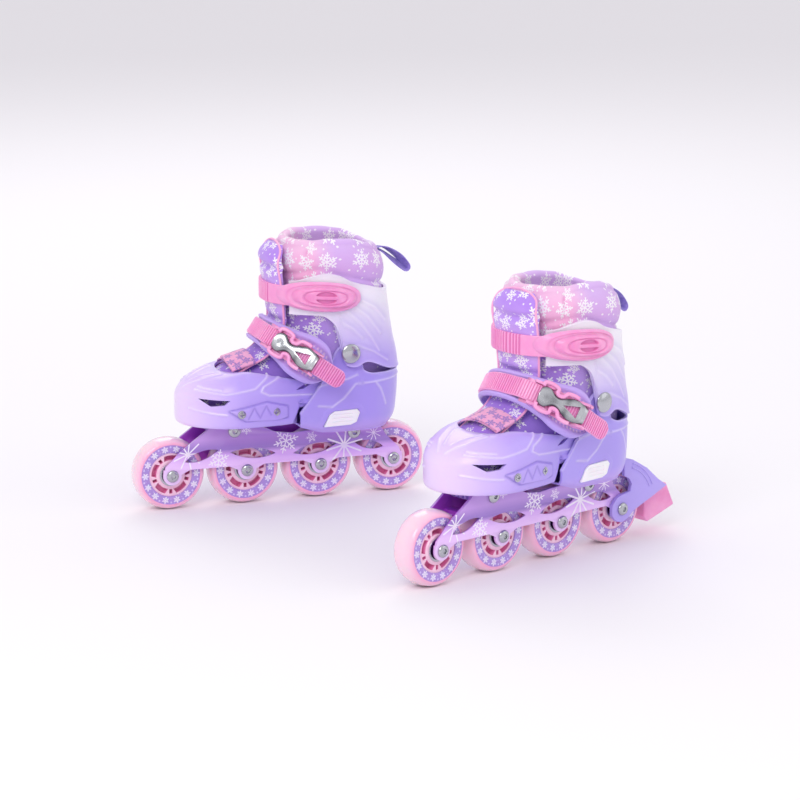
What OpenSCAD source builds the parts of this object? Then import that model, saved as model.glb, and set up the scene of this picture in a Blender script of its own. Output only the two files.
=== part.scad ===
// A pair of children's inline skates: four wheels in line under an aluminium frame,
// a heel shell, a toe shell that slides to change the size, a hinged cuff, a padded
// liner, a ratchet strap, a hook-and-loop strap and a cuff buckle. The second skate
// carries a heel brake.
//
// Each skate is drawn in its own frame: the toe points to -X, the buckles are on -Y,
// the ground is z = 0 and the origin is under the middle of the wheelbase.

/* [Pair] */
// How far the second skate stands to the right of the first
pair_x = 135; // [130:5:200]
// How far the second skate stands in front of the first
pair_y = 300; // [290:5:400]
// How far the second skate's toe is turned towards the front, in degrees
pair_turn = 23; // [10:1:30]

/* [Wheels] */
// Wheel diameter
wheel_d = 70; // [68:1:72]
// Tyre width
tyre_w = 24; // [22:1:24]
// Distance from one axle to the next
pitch = 75; // [74:1:78]
// Diameter of the hub, inside the tyre
hub_d = 42.8; // [40:0.4:44]
// Outer diameter of a ball bearing
bearing_d = 22; // [22:1:22]
// Width of a ball bearing
bearing_w = 7; // [7:1:7]
// Bore of a ball bearing
bearing_bore = 8; // [8:1:8]

/* [Frame] */
// Thickness of a side plate
plate_t = 3; // [2.5:0.5:3]
// Distance over both side plates
frame_w = 36; // [36:1:38]
// Diameter of the bolt heads
bolt_head_d = 12; // [10:1:13]

/* [Shells] */
// Wall thickness of the moulded shells
shell_t = 3; // [2.5:0.5:3]
// Half the width of the toe shell at the ball of the foot
ball_w = 51; // [50:0.5:52]
// Half the width of the heel shell
heel_w = 47.5; // [47:0.5:48]
// Height of the ankle pivot above the ground
ankle_z = 150; // [149:1:151]
// Diameter of the cap on an ankle rivet
rivet_cap_d = 19; // [16:1:20]

/* [Hidden] */
SIDES = ["left", "right"];
PER_SKATE = ["frame", "tyre_1", "tyre_2", "tyre_3", "tyre_4", "hub_1", "hub_2", "hub_3", "hub_4",
    "heel_shell", "toe_shell", "cuff", "liner", "tongue", "cuff_strap", "cuff_buckle",
    "cuff_lever", "ankle_pad", "ankle_strap", "ankle_buckle", "ankle_lever", "instep_strap",
    "size_button", "button_spring", "toe_screws", "pull_loop"];
SHARED = ["wheel_bearings", "bearing_spacers", "axle_bolts", "mount_bolts", "ankle_rivets",
    "footbeds", "brake_arm", "brake_pad"];
$fn = 48;

// The pair's own origin is under the middle of its bounding box
first_x = -84.66;
first_y = 156.63;

axle_z = wheel_d / 2;
axles = [for (i = [-1.5 : 1]) i * pitch, 1.5 * pitch];
front_bolt = [-50, 74.8];
rear_bolt = [71.6, 64.5];
ankle_x = 58;
plate_out = frame_w / 2;
plate_in = plate_out - plate_t;
bolt_r = bolt_head_d / 2;
shaft_r = bearing_bore / 2 - 0.05;

// Colours
lavender = "#b9a2ea";
pale_lilac = "#d9c4f6";
orchid = "#b784d8";
pink = "#f6a5d4";
pale_pink = "#fbcfe6";
steel = "#c9cbd0";

// ---------- placing ----------
module on_first() {
    translate([first_x, first_y, 0]) children();
}

module on_second() {
    translate([first_x + pair_x, first_y - pair_y, 0]) rotate(pair_turn) children();
}

module on_both() {
    on_first() children();
    on_second() children();
}

// Lay a side-view outline, drawn in x and z, across the skate from y0 to y1
module across(y0, y1) {
    translate([0, y1, 0]) rotate([90, 0, 0]) linear_extrude(y1 - y0) children();
}

module round_bar(x, z, r, y0, y1) {
    translate([x, y1, z]) rotate([90, 0, 0]) cylinder(r = r, h = y1 - y0);
}

// ---------- curves ----------
function power(v, p) = sign(v) * pow(abs(v), p);
function blend(a, b, k) = a + (b - a) * min(1, max(0, k));

// A point of a foot-shaped outline: a = 0 is its front, 90 its -Y side, 180 its back
function outline_pt(a, front, back, wf, wr, p = 0.8) =
    let (x = (front + back) / 2 - (back - front) / 2 * power(cos(a), p),
         w = blend(wf, wr, (x + 60) / 90))
    [x, -w * power(sin(a), p)];

function outline(front, back, wf, wr, p = 0.8, n = 40) =
    [for (i = [0 : n - 1]) outline_pt(i * 360 / n, front, back, wf, wr, p)];

function flat_list(g) = [for (row = g, q = row) q];

// A closed wall between an outer and an inner grid of points. Rows run upwards and
// stations run anticlockwise as seen from above.
module wall(outer, inner) {
    m = len(outer);
    n = len(outer[0]);
    k = m * n;
    quads = [for (i = [0 : m - 2], j = [0 : n - 2])
        [i * n + j, (i + 1) * n + j, (i + 1) * n + j + 1, i * n + j + 1]];
    polyhedron(
        points = concat(flat_list(outer), flat_list(inner)),
        faces = concat(
            [for (q = quads) [q[0], q[3], q[2]]],
            [for (q = quads) [q[0], q[2], q[1]]],
            [for (q = quads) [k + q[0], k + q[1], k + q[2]]],
            [for (q = quads) [k + q[0], k + q[2], k + q[3]]],
            [for (i = [0 : m - 2]) [i * n, (i + 1) * n, k + (i + 1) * n]],
            [for (i = [0 : m - 2]) [i * n, k + (i + 1) * n, k + i * n]],
            [for (i = [1 : m - 1]) [i * n + n - 1, (i - 1) * n + n - 1, k + (i - 1) * n + n - 1]],
            [for (i = [1 : m - 1]) [i * n + n - 1, k + (i - 1) * n + n - 1, k + i * n + n - 1]],
            [for (j = [0 : n - 2]) [j + 1, j, k + j]],
            [for (j = [0 : n - 2]) [j + 1, k + j, k + j + 1]],
            [for (j = [0 : n - 2]) [k - n + j, k - n + j + 1, 2 * k - n + j + 1]],
            [for (j = [0 : n - 2]) [k - n + j, 2 * k - n + j + 1, 2 * k - n + j]]),
        convexity = 6);
}

// A cup with a floor, made of rings of points that are alike on both sides of y = 0
module cup(outer, inner) {
    m = len(outer);
    n = len(outer[0]);
    k = m * n;
    h = n / 2;
    ring = [for (i = [0 : m - 2], j = [0 : n - 1])
        [i * n + j, i * n + (j + 1) % n, (i + 1) * n + (j + 1) % n, (i + 1) * n + j]];
    floor_strips = [for (j = [1 : h - 2]) [j, j + 1, n - j - 1, n - j]];
    top = (m - 1) * n;
    polyhedron(
        points = concat(flat_list(outer), flat_list(inner)),
        faces = concat(
            [for (q = ring) [q[0], q[3], q[2]]],
            [for (q = ring) [q[0], q[2], q[1]]],
            [for (q = ring) [k + q[0], k + q[1], k + q[2]]],
            [for (q = ring) [k + q[0], k + q[2], k + q[3]]],
            [for (j = [0 : n - 1]) [top + (j + 1) % n, top + j, k + top + j]],
            [for (j = [0 : n - 1]) [top + (j + 1) % n, k + top + j, k + top + (j + 1) % n]],
            [[0, 1, n - 1], [h - 1, h, h + 1]],
            [for (q = floor_strips) [q[0], q[1], q[2]]],
            [for (q = floor_strips) [q[0], q[2], q[3]]],
            [[k + n - 1, k + 1, k], [k + h + 1, k + h, k + h - 1]],
            [for (q = floor_strips) [k + q[2], k + q[1], k + q[0]]],
            [for (q = floor_strips) [k + q[3], k + q[2], k + q[0]]]),
        convexity = 6);
}

// ---------- wheels ----------
tyre_profile = concat(
    [[hub_d / 2 + 0.02, -tyre_w / 2 + 0.8], [29.5, -tyre_w / 2]],
    [for (a = [-75 : 15 : 75]) [29.5 + (wheel_d / 2 - 29.5) * pow(cos(a), 0.7), tyre_w / 2 * sin(a)]],
    [[29.5, tyre_w / 2], [hub_d / 2 + 0.02, tyre_w / 2 - 0.8]]);

module tyre(i) {
    color(pale_pink) translate([axles[i], 0, axle_z]) rotate([90, 0, 0])
        rotate_extrude($fn = 96) polygon(tyre_profile);
}

// One half of the pockets moulded into a hub's face
module hub_pockets() {
    for (k = [0 : 4]) {
        rotate(k * 72 + 18) intersection() {
            difference() {
                cylinder(r = 19.2, h = 8);
                translate([0, 0, -1]) cylinder(r = 14.3, h = 10);
            }
            translate([16, 0, 4]) cube([20, 12.4, 12], center = true);
        }
        rotate(k * 72 + 54) translate([16.6, 0, 4]) cube([4.4, 3.2, 8], center = true);
    }
}

module hub(i) {
    bearing_r = bearing_d / 2 + 0.05;
    color(pale_pink) translate([axles[i], 0, axle_z]) rotate([90, 0, 0]) difference() {
        rotate_extrude($fn = 72) polygon([
            [9.2, -4.9], [bearing_r, -4.9], [bearing_r, -11.8], [13.4, -11.8], [14, -10.8],
            [19.4, -10.8], [hub_d / 2, -10.6], [hub_d / 2, 10.6], [19.4, 10.8], [14, 10.8],
            [13.4, 11.8], [bearing_r, 11.8], [bearing_r, 4.9], [9.2, 4.9]]);
        translate([0, 0, 3]) hub_pockets();
        mirror([0, 0, 1]) translate([0, 0, 3]) hub_pockets();
    }
}

module ring_at(x, r_out, r_in, y0, y1) {
    difference() {
        round_bar(x, axle_z, r_out, y0, y1);
        round_bar(x, axle_z, r_in, y0 - 1, y1 + 1);
    }
}

module wheel_bearings() {
    y_in = tyre_w / 2 + 0.15 - bearing_w;
    color(steel) on_both() for (x = axles, s = [-1, 1])
        ring_at(x, bearing_d / 2, bearing_bore / 2, s * (y_in + bearing_w / 2) - bearing_w / 2,
            s * (y_in + bearing_w / 2) + bearing_w / 2);
}

module bearing_spacers() {
    half = tyre_w / 2 + 0.1 - bearing_w;
    color(steel) on_both() for (x = axles) ring_at(x, 5.5, bearing_bore / 2, -half, half);
}

// A shaft with a button head at each end and a hexagon socket in it
module bolt(x, z, r, y_head, r_head) {
    difference() {
        union() {
            round_bar(x, z, r, -y_head - 1, y_head + 1);
            for (s = [-1, 1]) translate([x, s * y_head, z]) rotate([-s * 90, 0, 0])
                rotate_extrude() polygon([[0, 0], [r_head, 0], [r_head, 1.2],
                    [r_head - 1, 2.5], [r_head - 2.4, 3], [0, 3]]);
        }
        for (s = [-1, 1]) translate([x, s * (y_head + 3), z]) rotate([s * 90, 0, 0])
            cylinder(r = 2.6, h = 2, $fn = 6);
    }
}

module axle_bolts() {
    color(steel) {
        on_first() for (x = axles) bolt(x, axle_z, shaft_r, plate_out, bolt_r);
        on_second() for (x = [axles[0], axles[1], axles[2]])
            bolt(x, axle_z, shaft_r, plate_out, bolt_r);
        on_second() bolt(axles[3], axle_z, shaft_r, brake_out, bolt_r);
    }
}

module mount_bolts() {
    color(steel) on_both() {
        bolt(front_bolt[0], front_bolt[1], 3, plate_out, bolt_r + 0.3);
        bolt(rear_bolt[0], rear_bolt[1], 3, plate_out, bolt_r + 0.3);
    }
}

// ---------- frame ----------
// A leaf-shaped window, l long and w wide
module leaf(l, w) {
    r = (l * l / 4 + w * w / 4) / w;
    intersection() {
        translate([0, r - w / 2]) circle(r = r, $fn = 96);
        translate([0, w / 2 - r]) circle(r = r, $fn = 96);
    }
}

module plate_outline() {
    union() {
        polygon([[-121, 36], [-119, 44], [-102, 60], [-78, 77], [-71, 83.8], [-28, 83.8],
            [-22, 77], [-8, 70.5], [8, 68.2], [24, 69.4], [97, 71.8], [104, 60], [118, 46],
            [121, 38], [110, 40], [-104, 40]]);
        for (x = axles) {
            translate([x, axle_z]) circle(r = 9);
            polygon([[x - 9, 35], [x - 9, 36], [max(x - 20, -121), 41], [min(x + 20, 121), 41],
                [x + 9, 36], [x + 9, 35]]);
        }
    }
}

windows = [[-83, 52.5, 35, 9.5, 16], [-31, 51.5, 46, 10.5, -5], [32, 51, 45, 10.5, 8],
    [87.5, 50.5, 30, 8.5, -12]];

module side_plate() {
    difference() {
        across(-plate_out, -plate_in) difference() {
            plate_outline();
            for (w = windows) translate([w[0], w[1]]) rotate(w[4]) leaf(w[2], w[3]);
        }
        // The long flute under the ridge
        translate([-125, -plate_out - 0.01, 0]) rotate([90, 0, 90]) linear_extrude(250)
            polygon([[0, 57], [1.4, 53.5], [0, 41]]);
    }
}

module frame() {
    axle_r = bearing_bore / 2;
    color(orchid) difference() {
        union() {
            side_plate();
            mirror([0, 1, 0]) side_plate();
            // Webs that tie the two plates together between the wheels
            for (x = [-pitch, 0]) translate([x - 5, -plate_in - 0.5, 58])
                cube([10, 2 * plate_in + 1, 4]);
            for (x = axles, s = [-1, 1]) round_bar(x, axle_z, 6,
                s * (plate_in - 1.2) - 1.45, s * (plate_in - 1.2) + 1.45);
        }
        for (x = axles) round_bar(x, axle_z, axle_r, -30, 30);
        round_bar(front_bolt[0], front_bolt[1], 3.1, -30, 30);
        round_bar(rear_bolt[0], rear_bolt[1], 3.1, -30, 30);
    }
}

// ---------- heel shell ----------
heel_cx = 76;

// Half width of the heel shell's outside, by height
function heel_half(x, z) = lookup(z, [[72, heel_w - 5], [80, heel_w - 1.2], [90, heel_w],
    [127, heel_w - 0.5], [133, 45.4], [165, 45.4]]) - 1.2 * min(1, max(0, (x - 20) / 60));
// How far the heel reaches behind its centre, by height
function heel_back(z) = lookup(z, [[72, 33], [80, 39], [90, 41.5], [115, 43.6], [130, 43]]);
heel_low = [[8, 80.5], [20, 76.5], [34, 72.6], [300, 72.6]];
heel_high = [[8, 95], [28, 121], [36, 134], [45, 151], [52, 158], [58, 160], [65, 157],
    [69, 147], [73, 132], [97, 127.5], [300, 127.5]];
heel_side = [8, 14, 20, 28, 36, 44, 51, 58, 65, 69, 73];
heel_rows = [0, 0.14, 0.32, 0.6, 0.82, 1];

// Stations round the heel: side points, the round back, and the other side
heel_path = concat(
    [for (x = heel_side) [x, 0, -1]],
    [for (a = [-80 : 16 : 80]) [heel_cx, a, 0]],
    [for (i = [len(heel_side) - 1 : -1 : 0]) [heel_side[i], 0, 1]]);

function heel_point(q, f, t) =
    let (x_edge = q[2] == 0 ? heel_cx + 42 * cos(q[1]) : q[0],
         z = blend(lookup(x_edge, heel_low), lookup(x_edge, heel_high), f))
    q[2] == 0
        ? [heel_cx + (heel_back(z) - t) * cos(q[1]), (heel_half(heel_cx, z) - t) * sin(q[1]), z]
        : [q[0], q[2] * (heel_half(q[0], z) - t), z];

button_side = [[31.5, 79], [37, 90.5], [42, 93.5], [65, 94.2], [67.5, 91], [64, 82], [58, 79.5]];

module heel_shell() {
    color(lavender) difference() {
        union() {
            wall([for (q = heel_path) [for (f = heel_rows) heel_point(q, f, 0)]],
                [for (q = heel_path) [for (f = heel_rows) heel_point(q, f, shell_t)]]);
            // Heel floor and bottom skin, trimmed to the shell
            intersection() {
                union() {
                    across(-50, 50) polygon([[8.5, 84], [8.5, 89], [38, 97.3], [116, 97.3],
                        [116, 94.8], [39, 94.8], [14, 87], [12, 84]]);
                    across(-50, 50) polygon([[8.5, 80], [24, 74.6], [34, 72.4], [110, 72.4],
                        [110, 75], [36, 75], [26, 77], [12, 82], [12, 84.5], [8.5, 84.5]]);
                }
                translate([0, 0, 60]) linear_extrude(60)
                    polygon(concat([[8.5, -heel_w + 5.2]],
                        [for (a = [-80 : 16 : 80]) [heel_cx + 34 * cos(a), (heel_w - 6) * sin(a)]],
                        [[8.5, heel_w - 5.2]]));
            }
            // Sole plate and keel under the toe shell
            across(-30, 30) polygon([[-70, 84], [-26, 84], [10, 80], [10, 87.4], [-70, 87.4]]);
            // Lugs between the frame's side plates
            across(-plate_in + 0.2, plate_in - 0.2) polygon([[-76, 84.5], [-74, 74], [-70, 71.8],
                [-30, 71.8], [-24, 76], [-20, 84.5]]);
            across(-plate_in + 0.2, plate_in - 0.2) polygon([[62, 74], [63.6, 64.5], [79.6, 64.5],
                [82, 74]]);
            round_bar(rear_bolt[0], rear_bolt[1], 8, -plate_in + 0.2, plate_in - 0.2);
            // Seat for the button's spring
            translate([43, -32.5, 74]) cube([14, 2.5, 22]);
        }
        round_bar(front_bolt[0], front_bolt[1], 3.1, -40, 40);
        round_bar(rear_bolt[0], rear_bolt[1], 3.1, -40, 40);
        round_bar(ankle_x, ankle_z, 4.05, -60, 60);
        // Opening for the size button
        across(-60, -40) translate([49.5, 86.6]) scale(1.05) translate([-49.5, -86.6])
            polygon(button_side);
        // Relief slots in the front lug
        for (y = [-9, -3, 3, 9]) translate([-77, y - 1.8, 70]) cube([14, 3.6, 12]);
    }
}

module size_button() {
    color("#f4f1f8") difference() {
        across(-49, -42) polygon(button_side);
        for (z = [83, 86.6, 90.2]) translate([40, -49.5, z - 0.5]) cube([20, 1, 1]);
    }
}

// Coil spring behind the size button, drawn as a swept wire
spring_turns = 4;
module button_spring() {
    n = 12 * spring_turns;
    y0 = -41.4;
    length = 8;
    pts = [for (i = [0 : n], k = [0 : 5])
        let (a = i * 30, r = 4.6 + 0.5 * cos(k * 60))
        [49.5 + r * cos(a), y0 + length * i / n + 0.5 * sin(k * 60), 86 + r * sin(a)]];
    color(steel) polyhedron(points = pts, faces = concat(
        [for (i = [0 : n - 1], k = [0 : 5])
            [i * 6 + k, (i + 1) * 6 + k, i * 6 + (k + 1) % 6]],
        [for (i = [0 : n - 1], k = [0 : 5])
            [(i + 1) * 6 + k, (i + 1) * 6 + (k + 1) % 6, i * 6 + (k + 1) % 6]],
        [[0, 1, 2, 3, 4, 5]],
        [[n * 6 + 5, n * 6 + 4, n * 6 + 3, n * 6 + 2, n * 6 + 1, n * 6]]));
}

// ---------- toe shell ----------
toe_cx = -45;
toe_len = 58;
toe_side = [30, 18, 6, -6, -18, -32];
toe_half = [[-45, ball_w], [-20, ball_w - 1.5], [4, 45.5], [10, 44], [30, 43.8]];
rim_half = [[-45, 30], [-32, 37], [-18, 41], [6, 42.5], [30, 42.6]];
rim_high = [[-62, 133], [-45, 135], [-32, 134], [-18, 131], [6, 126], [30, 121]];

toe_path = concat(
    [for (x = toe_side) [x, 0, 1]],
    [for (b = [0 : 12 : 180]) [toe_cx, b, 0]],
    [for (i = [len(toe_side) - 1 : -1 : 0]) [toe_side[i], 0, -1]]);

function toe_edge(q, t) = q[2] == 0
    ? [toe_cx - (toe_len - t) * sin(q[1]), (ball_w - t) * cos(q[1])]
    : [q[0], q[2] * (lookup(q[0], toe_half) - t)];
function toe_rim(q) = q[2] == 0
    ? [toe_cx - 17 * sin(q[1]), 30 * cos(q[1]), 135 - 2 * sin(q[1])]
    : [q[0], q[2] * lookup(q[0], rim_half), lookup(q[0], rim_high)];

// Its rear end rides above the heel shell's floor and has no flange under it
toe_low = [[1, 84], [8, 99]];
toe_flange = [[-6, 12], [6, 3.4]];

// Rows of the toe shell: how far from the edge to the rim, and how far up
toe_rows = [[0, 0.5], [0.11, 0.7], [0.34, 0.84], [0.67, 0.94], [1, 1]];

function toe_column(q, t) =
    let (base = toe_edge(q, t), rim = toe_rim(q), x = q[2] == 0 ? toe_cx : q[0],
         flange = toe_edge(q, lookup(x, toe_flange)), tuck = toe_edge(q, 1.6 + t * 0.4),
         low = lookup(x, toe_low))
    concat(
        [[flange[0], flange[1], low + t], [tuck[0], tuck[1], low + t],
         [base[0], base[1], max(90, low + 5)]],
        [for (r = toe_rows)
            [blend(base[0], rim[0], r[0]), blend(base[1], rim[1], r[0]),
             blend(84, rim[2], r[1]) - t * r[0]]]);

module toe_shell() {
    color(pale_lilac) difference() {
        union() {
            wall([for (q = toe_path) toe_column(q, 0)], [for (q = toe_path) toe_column(q, shell_t)]);
            translate([0, 0, 87.8]) linear_extrude(2) polygon(concat(
                [[1, 44]], [for (x = [-18, -32]) [x, lookup(x, toe_half) - 2]],
                [for (b = [0 : 12 : 180]) toe_edge([toe_cx, b, 0], 2)],
                [for (x = [-32, -18]) [x, 2 - lookup(x, toe_half)]], [[1, -44]]));
        }
        for (x = screw_x) round_bar(x, screw_z, 2.1, -60, 60);
    }
}

screw_x = [-52.7, -17.7];
screw_z = 98.5;

module toe_screws() {
    color(steel) for (x = screw_x, s = [-1, 1]) {
        y = lookup(x, toe_half) + 0.4;
        translate([x, s * y, screw_z]) rotate([-s * 90, 0, 0]) difference() {
            union() {
                cylinder(r = 4, h = 1);
                translate([0, 0, 0.9]) cylinder(r = 2.8, h = 1.3);
                translate([0, 0, -4]) cylinder(r = 2, h = 4.5);
            }
            translate([0, 0, 1.4]) cube([0.8, 4, 1.7], center = true);
            translate([0, 0, 1.4]) cube([4, 0.8, 1.7], center = true);
        }
    }
}

// ---------- cuff ----------
// Outer size of the cuff: its front, its back by height, and its half width
cuff_front = -6;
function cuff_back(z) = lookup(z, [[128, 119.4], [145, 117], [160, 113.6], [192, 108.6],
    [215, 106], [230, 105]]);
cuff_w = 49.1;
cuff_low = [[-6, 189], [30, 188.5], [38, 184], [44, 177], [47, 166], [50, 142], [54, 137],
    [62, 136.5], [69, 140], [76, 139.5], [97, 130.5], [130, 130]];
cuff_high = [[-6, 221], [7, 222], [20, 226], [36, 229], [51, 226], [63, 220], [84, 214], [106, 208],
    [130, 208]];
cuff_angles = concat([for (a = [34 : 7.5 : 64]) a], [for (a = [68 : 4.8 : 92]) a],
    [for (a = [100 : 10 : 170]) a]);
cuff_path = concat(cuff_angles, [180], [for (i = [len(cuff_angles) - 1 : -1 : 0])
    360 - cuff_angles[i]]);
cuff_rows = [0, 0.2, 0.4, 0.6, 0.8, 1];

function cuff_pt(a, z, t) =
    outline_pt(a, cuff_front + t, cuff_back(z) - t, cuff_w - t, cuff_w - t, 0.8);
// A column's edge heights are read at its x on the cuff's mean outline
function cuff_column(a, t) =
    let (x = outline_pt(a, cuff_front, 112, cuff_w, cuff_w, 0.8)[0])
    [for (f = cuff_rows)
        let (z = blend(lookup(x, cuff_low), lookup(x, cuff_high), f), q = cuff_pt(a, z, t))
        [q[0], q[1], z]];

module cuff() {
    color(pale_lilac) difference() {
        wall([for (a = cuff_path) cuff_column(a, 0)],
            [for (a = cuff_path) cuff_column(a, shell_t + 0.2)]);
        round_bar(ankle_x, ankle_z, 4.1, -60, 60);
        // Rear window
        translate([80, 0, 170.5]) rotate([0, 90, 0]) rotate(90) linear_extrude(50) leaf(70, 44);
    }
}

module ankle_rivets() {
    color(steel) on_both() for (s = [-1, 1]) translate([ankle_x, 0, ankle_z]) rotate([-s * 90, 0, 0])
        rotate_extrude() polygon([[0, 40.9], [6, 40.9], [6, 41.5], [4, 41.5], [4, 49.5],
            [rivet_cap_d / 2, 49.5], [rivet_cap_d / 2, 50.8], [rivet_cap_d / 2 - 1.6, 52],
            [0, 52.4]]);
}

// A strip that follows the front half of an oval from angle a0 to a1, t0 to t1 outside it
function oval_pt(a, c, len_f, half, off, p) =
    [c - (len_f + off) * power(cos(a), p), -(half + off) * power(sin(a), p)];
function strip(a0, a1, c, len_f, half, t0, t1, p, n = 24) = concat(
    [for (i = [0 : n]) oval_pt(a0 + (a1 - a0) * i / n, c, len_f, half, t1, p)],
    [for (i = [n : -1 : 0]) oval_pt(a0 + (a1 - a0) * i / n, c, len_f, half, t0, p)]);

buckle_z = 208;
// The cuff's oval at the height of its strap
strap_c = 53;
strap_front = 64.5;
strap_half = cuff_w + 0.3;

module cuff_strip(a0, a1, t0, t1, h, n = 24) {
    linear_extrude(h, center = true)
        polygon(strip(a0, a1, strap_c, strap_front, strap_half, t0, t1, 0.85, n));
}

module cuff_strap() {
    color(pink) translate([0, 0, buckle_z]) difference() {
        cuff_strip(-80, 48, 0.6, 3.2, 19);
        // Ladder teeth at the far end
        for (a = [-30 : 6 : 6]) translate(concat(
            oval_pt(a, strap_c, strap_front, strap_half, 3.6, 0.85), [0]))
            cube([2.2, 2.2, 15], center = true);
    }
}

module cuff_buckle() {
    color(pink) translate([0, 0, buckle_z]) {
        cuff_strip(36, 104, 3.5, 6, 26);
        // Ears that carry the lever's pivot
        difference() {
            for (s = [-1, 1]) translate([0, 0, s * 11.4]) cuff_strip(43, 51, 5.8, 10.4, 3, 4);
            translate(concat(lever_pivot, [0])) cylinder(r = 2, h = 40, center = true);
        }
    }
}

lever_pivot = oval_pt(47, strap_c, strap_front, strap_half, 8.2, 0.85);

module cuff_lever() {
    color(pink) translate([0, 0, buckle_z]) difference() {
        union() {
            cuff_strip(47, 97, 6.5, 9.2, 17);
            translate(concat(lever_pivot, [0])) cylinder(r = 1.9, h = 25, center = true);
        }
        for (s = [-1, 1]) translate([26, -60, s * 4.4]) cube([18, 10, 3.4], center = true);
    }
}

// ---------- ankle strap, in a plane that slopes down to the back ----------
incline = 34.7;
incline_x = -21;
incline_z = 171.5;
ankle_c = 60;
ankle_half = 51.6;

module on_incline() {
    translate([incline_x, 0, incline_z]) rotate([0, incline, 0]) children();
}

function incline_pt(a, off) = oval_pt(a, ankle_c, ankle_c - 3.4, ankle_half, off, 1);

// A strip along the instep's oval
module incline_strip(a0, a1, t0, t1, n = 24) {
    polygon(strip(a0, a1, ankle_c, ankle_c - 3.4, ankle_half, t0, t1, 1, n));
}

// The pad is strap wide on the far side and fans out under the buckle
module ankle_pad() {
    color(pale_lilac) on_incline() intersection() {
        linear_extrude(48, center = true) incline_strip(-96, 100, -0.4, 3.4, 40);
        union() {
            translate([0, 0, -13]) linear_extrude(27) translate([-10, -0.5]) square([100, 70]);
            across(-70, 0) polygon([[-10, -13], [8, -13], [20, -16.5], [34, -20.5], [48, -20.5],
                [58, -17], [66, -10], [71, 0], [66, 11], [56, 19], [44, 22], [34, 20.5],
                [20, 17], [8, 14], [-10, 14]]);
        }
    }
}

// The ladder strap comes over the instep, lies on the buckle's base and ends in a free tail
strap_bends = concat(
    [for (a = [-92 : 4 : 8]) [a, 3.8]],
    [for (a = [14 : 4 : 50]) [a, min(6.9, 3.8 + 0.3 * (a - 12))]]);

module ankle_strap() {
    t = 2.4;
    color(pink) on_incline() linear_extrude(18, center = true) polygon(concat(
        [for (b = strap_bends) incline_pt(b[0], b[1] + t)], [[46, -65.3], [80, -67.2]],
        [[80, -64.8], [46, -62.8]],
        [for (i = [len(strap_bends) - 1 : -1 : 0]) incline_pt(strap_bends[i][0], strap_bends[i][1])]));
}

// The lever lies on a straight line outside the strap, from its thumb end to its pivot
lever_from = [6, -39.9];
lever_to = [46, -66.2];
lever_dir = (lever_to - lever_from) / norm(lever_to - lever_from);
lever_lift = 2.2;
ankle_pivot = lever_to + lever_lift * [lever_dir[1], -lever_dir[0]];

module ankle_buckle() {
    color(pink) on_incline() difference() {
        union() {
            linear_extrude(23.6, center = true) incline_strip(24, 76, 3.8, 6.4, 14);
            for (s = [-1, 1]) translate([0, 0, s * 10.6]) linear_extrude(2.4, center = true) {
                incline_strip(32, 50, 5, 11.5, 8);
                polygon([[36, -54.6], [47, -56.2], [48.6, -67], [46.6, -71], [42, -70.4]]);
            }
        }
        translate(concat(ankle_pivot, [0])) cylinder(r = 1.5, h = 40, center = true);
    }
}

module ankle_lever() {
    l = norm(lever_to - lever_from);
    color(steel) on_incline() {
        translate(concat(lever_from, [0])) rotate(atan2(lever_dir[1], lever_dir[0]))
            difference() {
                rotate([90, 0, 0]) translate([0, 0, 0.4]) linear_extrude(2.6) union() {
                    translate([7.6, 0]) circle(r = 8);
                    polygon([[10, -5.5], [10, 5.5], [20, 3.6], [31, 9], [l, 8], [l, -8], [31, -9],
                        [20, -3.6]]);
                }
                rotate([90, 0, 0]) linear_extrude(8, center = true)
                    polygon([[25, 0], [l - 6, 5.6], [l - 6, -5.6]]);
            }
        translate(concat(ankle_pivot, [0])) cylinder(r = 1.9, h = 18, center = true);
        translate(concat(ankle_pivot, [0])) cylinder(r = 1.4, h = 24, center = true);
    }
}

// ---------- soft parts ----------
// Liner rings: height, front, back, half width in front and behind, wall thickness
liner_rings = [
    [100, -92, 111.5, 40.5, 39.5, 5], [108, -93, 113, 41, 40, 5], [115, -90, 113, 39.5, 40.2, 5],
    [121, -80, 112.5, 35, 40.4, 5], [127, -64, 112, 31, 40.5, 5], [133, -46, 111.5, 28, 40.5, 5],
    [140, -28, 111, 27, 40.5, 5], [149, -12, 110, 28, 40.5, 6], [160, -2, 109, 34, 40.5, 6],
    [173, 3, 107, 40, 41, 6], [190, 4, 104.6, 41, 43, 7], [208, 3.5, 102.4, 44, 44.6, 8],
    [226, 3, 101, 45, 45, 9], [240, 3.5, 100.5, 44, 44, 10], [250, 5, 99.5, 41, 41, 10],
    [256, 9, 96, 36, 36, 6]];
// The inner face sits higher than the outer one at the sole and lower over the instep
liner_inner_z = [[100, 4], [108, -1], [118, -4], [150, -4], [165, 0]];
function liner_floor(x) = lookup(x, [[0, 90.4], [24, 98.2]]);

function liner_ring(r, t) = [for (q = outline(r[1] + t, r[2] - t, r[3] - t, r[4] - t, 0.8, 32))
    [q[0], q[1], r[0] + (t > 0 ? lookup(r[0], liner_inner_z) : 0)]];
function liner_sole(t) = [for (q = outline(-86 + t, 109 - t, 37 - t, 36 - t, 0.8, 32))
    [q[0], q[1], liner_floor(q[0]) + t * 0.8]];

module liner() {
    color("#c99af0") cup(
        concat([liner_sole(0)], [for (r = liner_rings) liner_ring(r, 0)]),
        concat([liner_sole(5)], [for (r = liner_rings) liner_ring(r, r[5])]));
}

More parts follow.
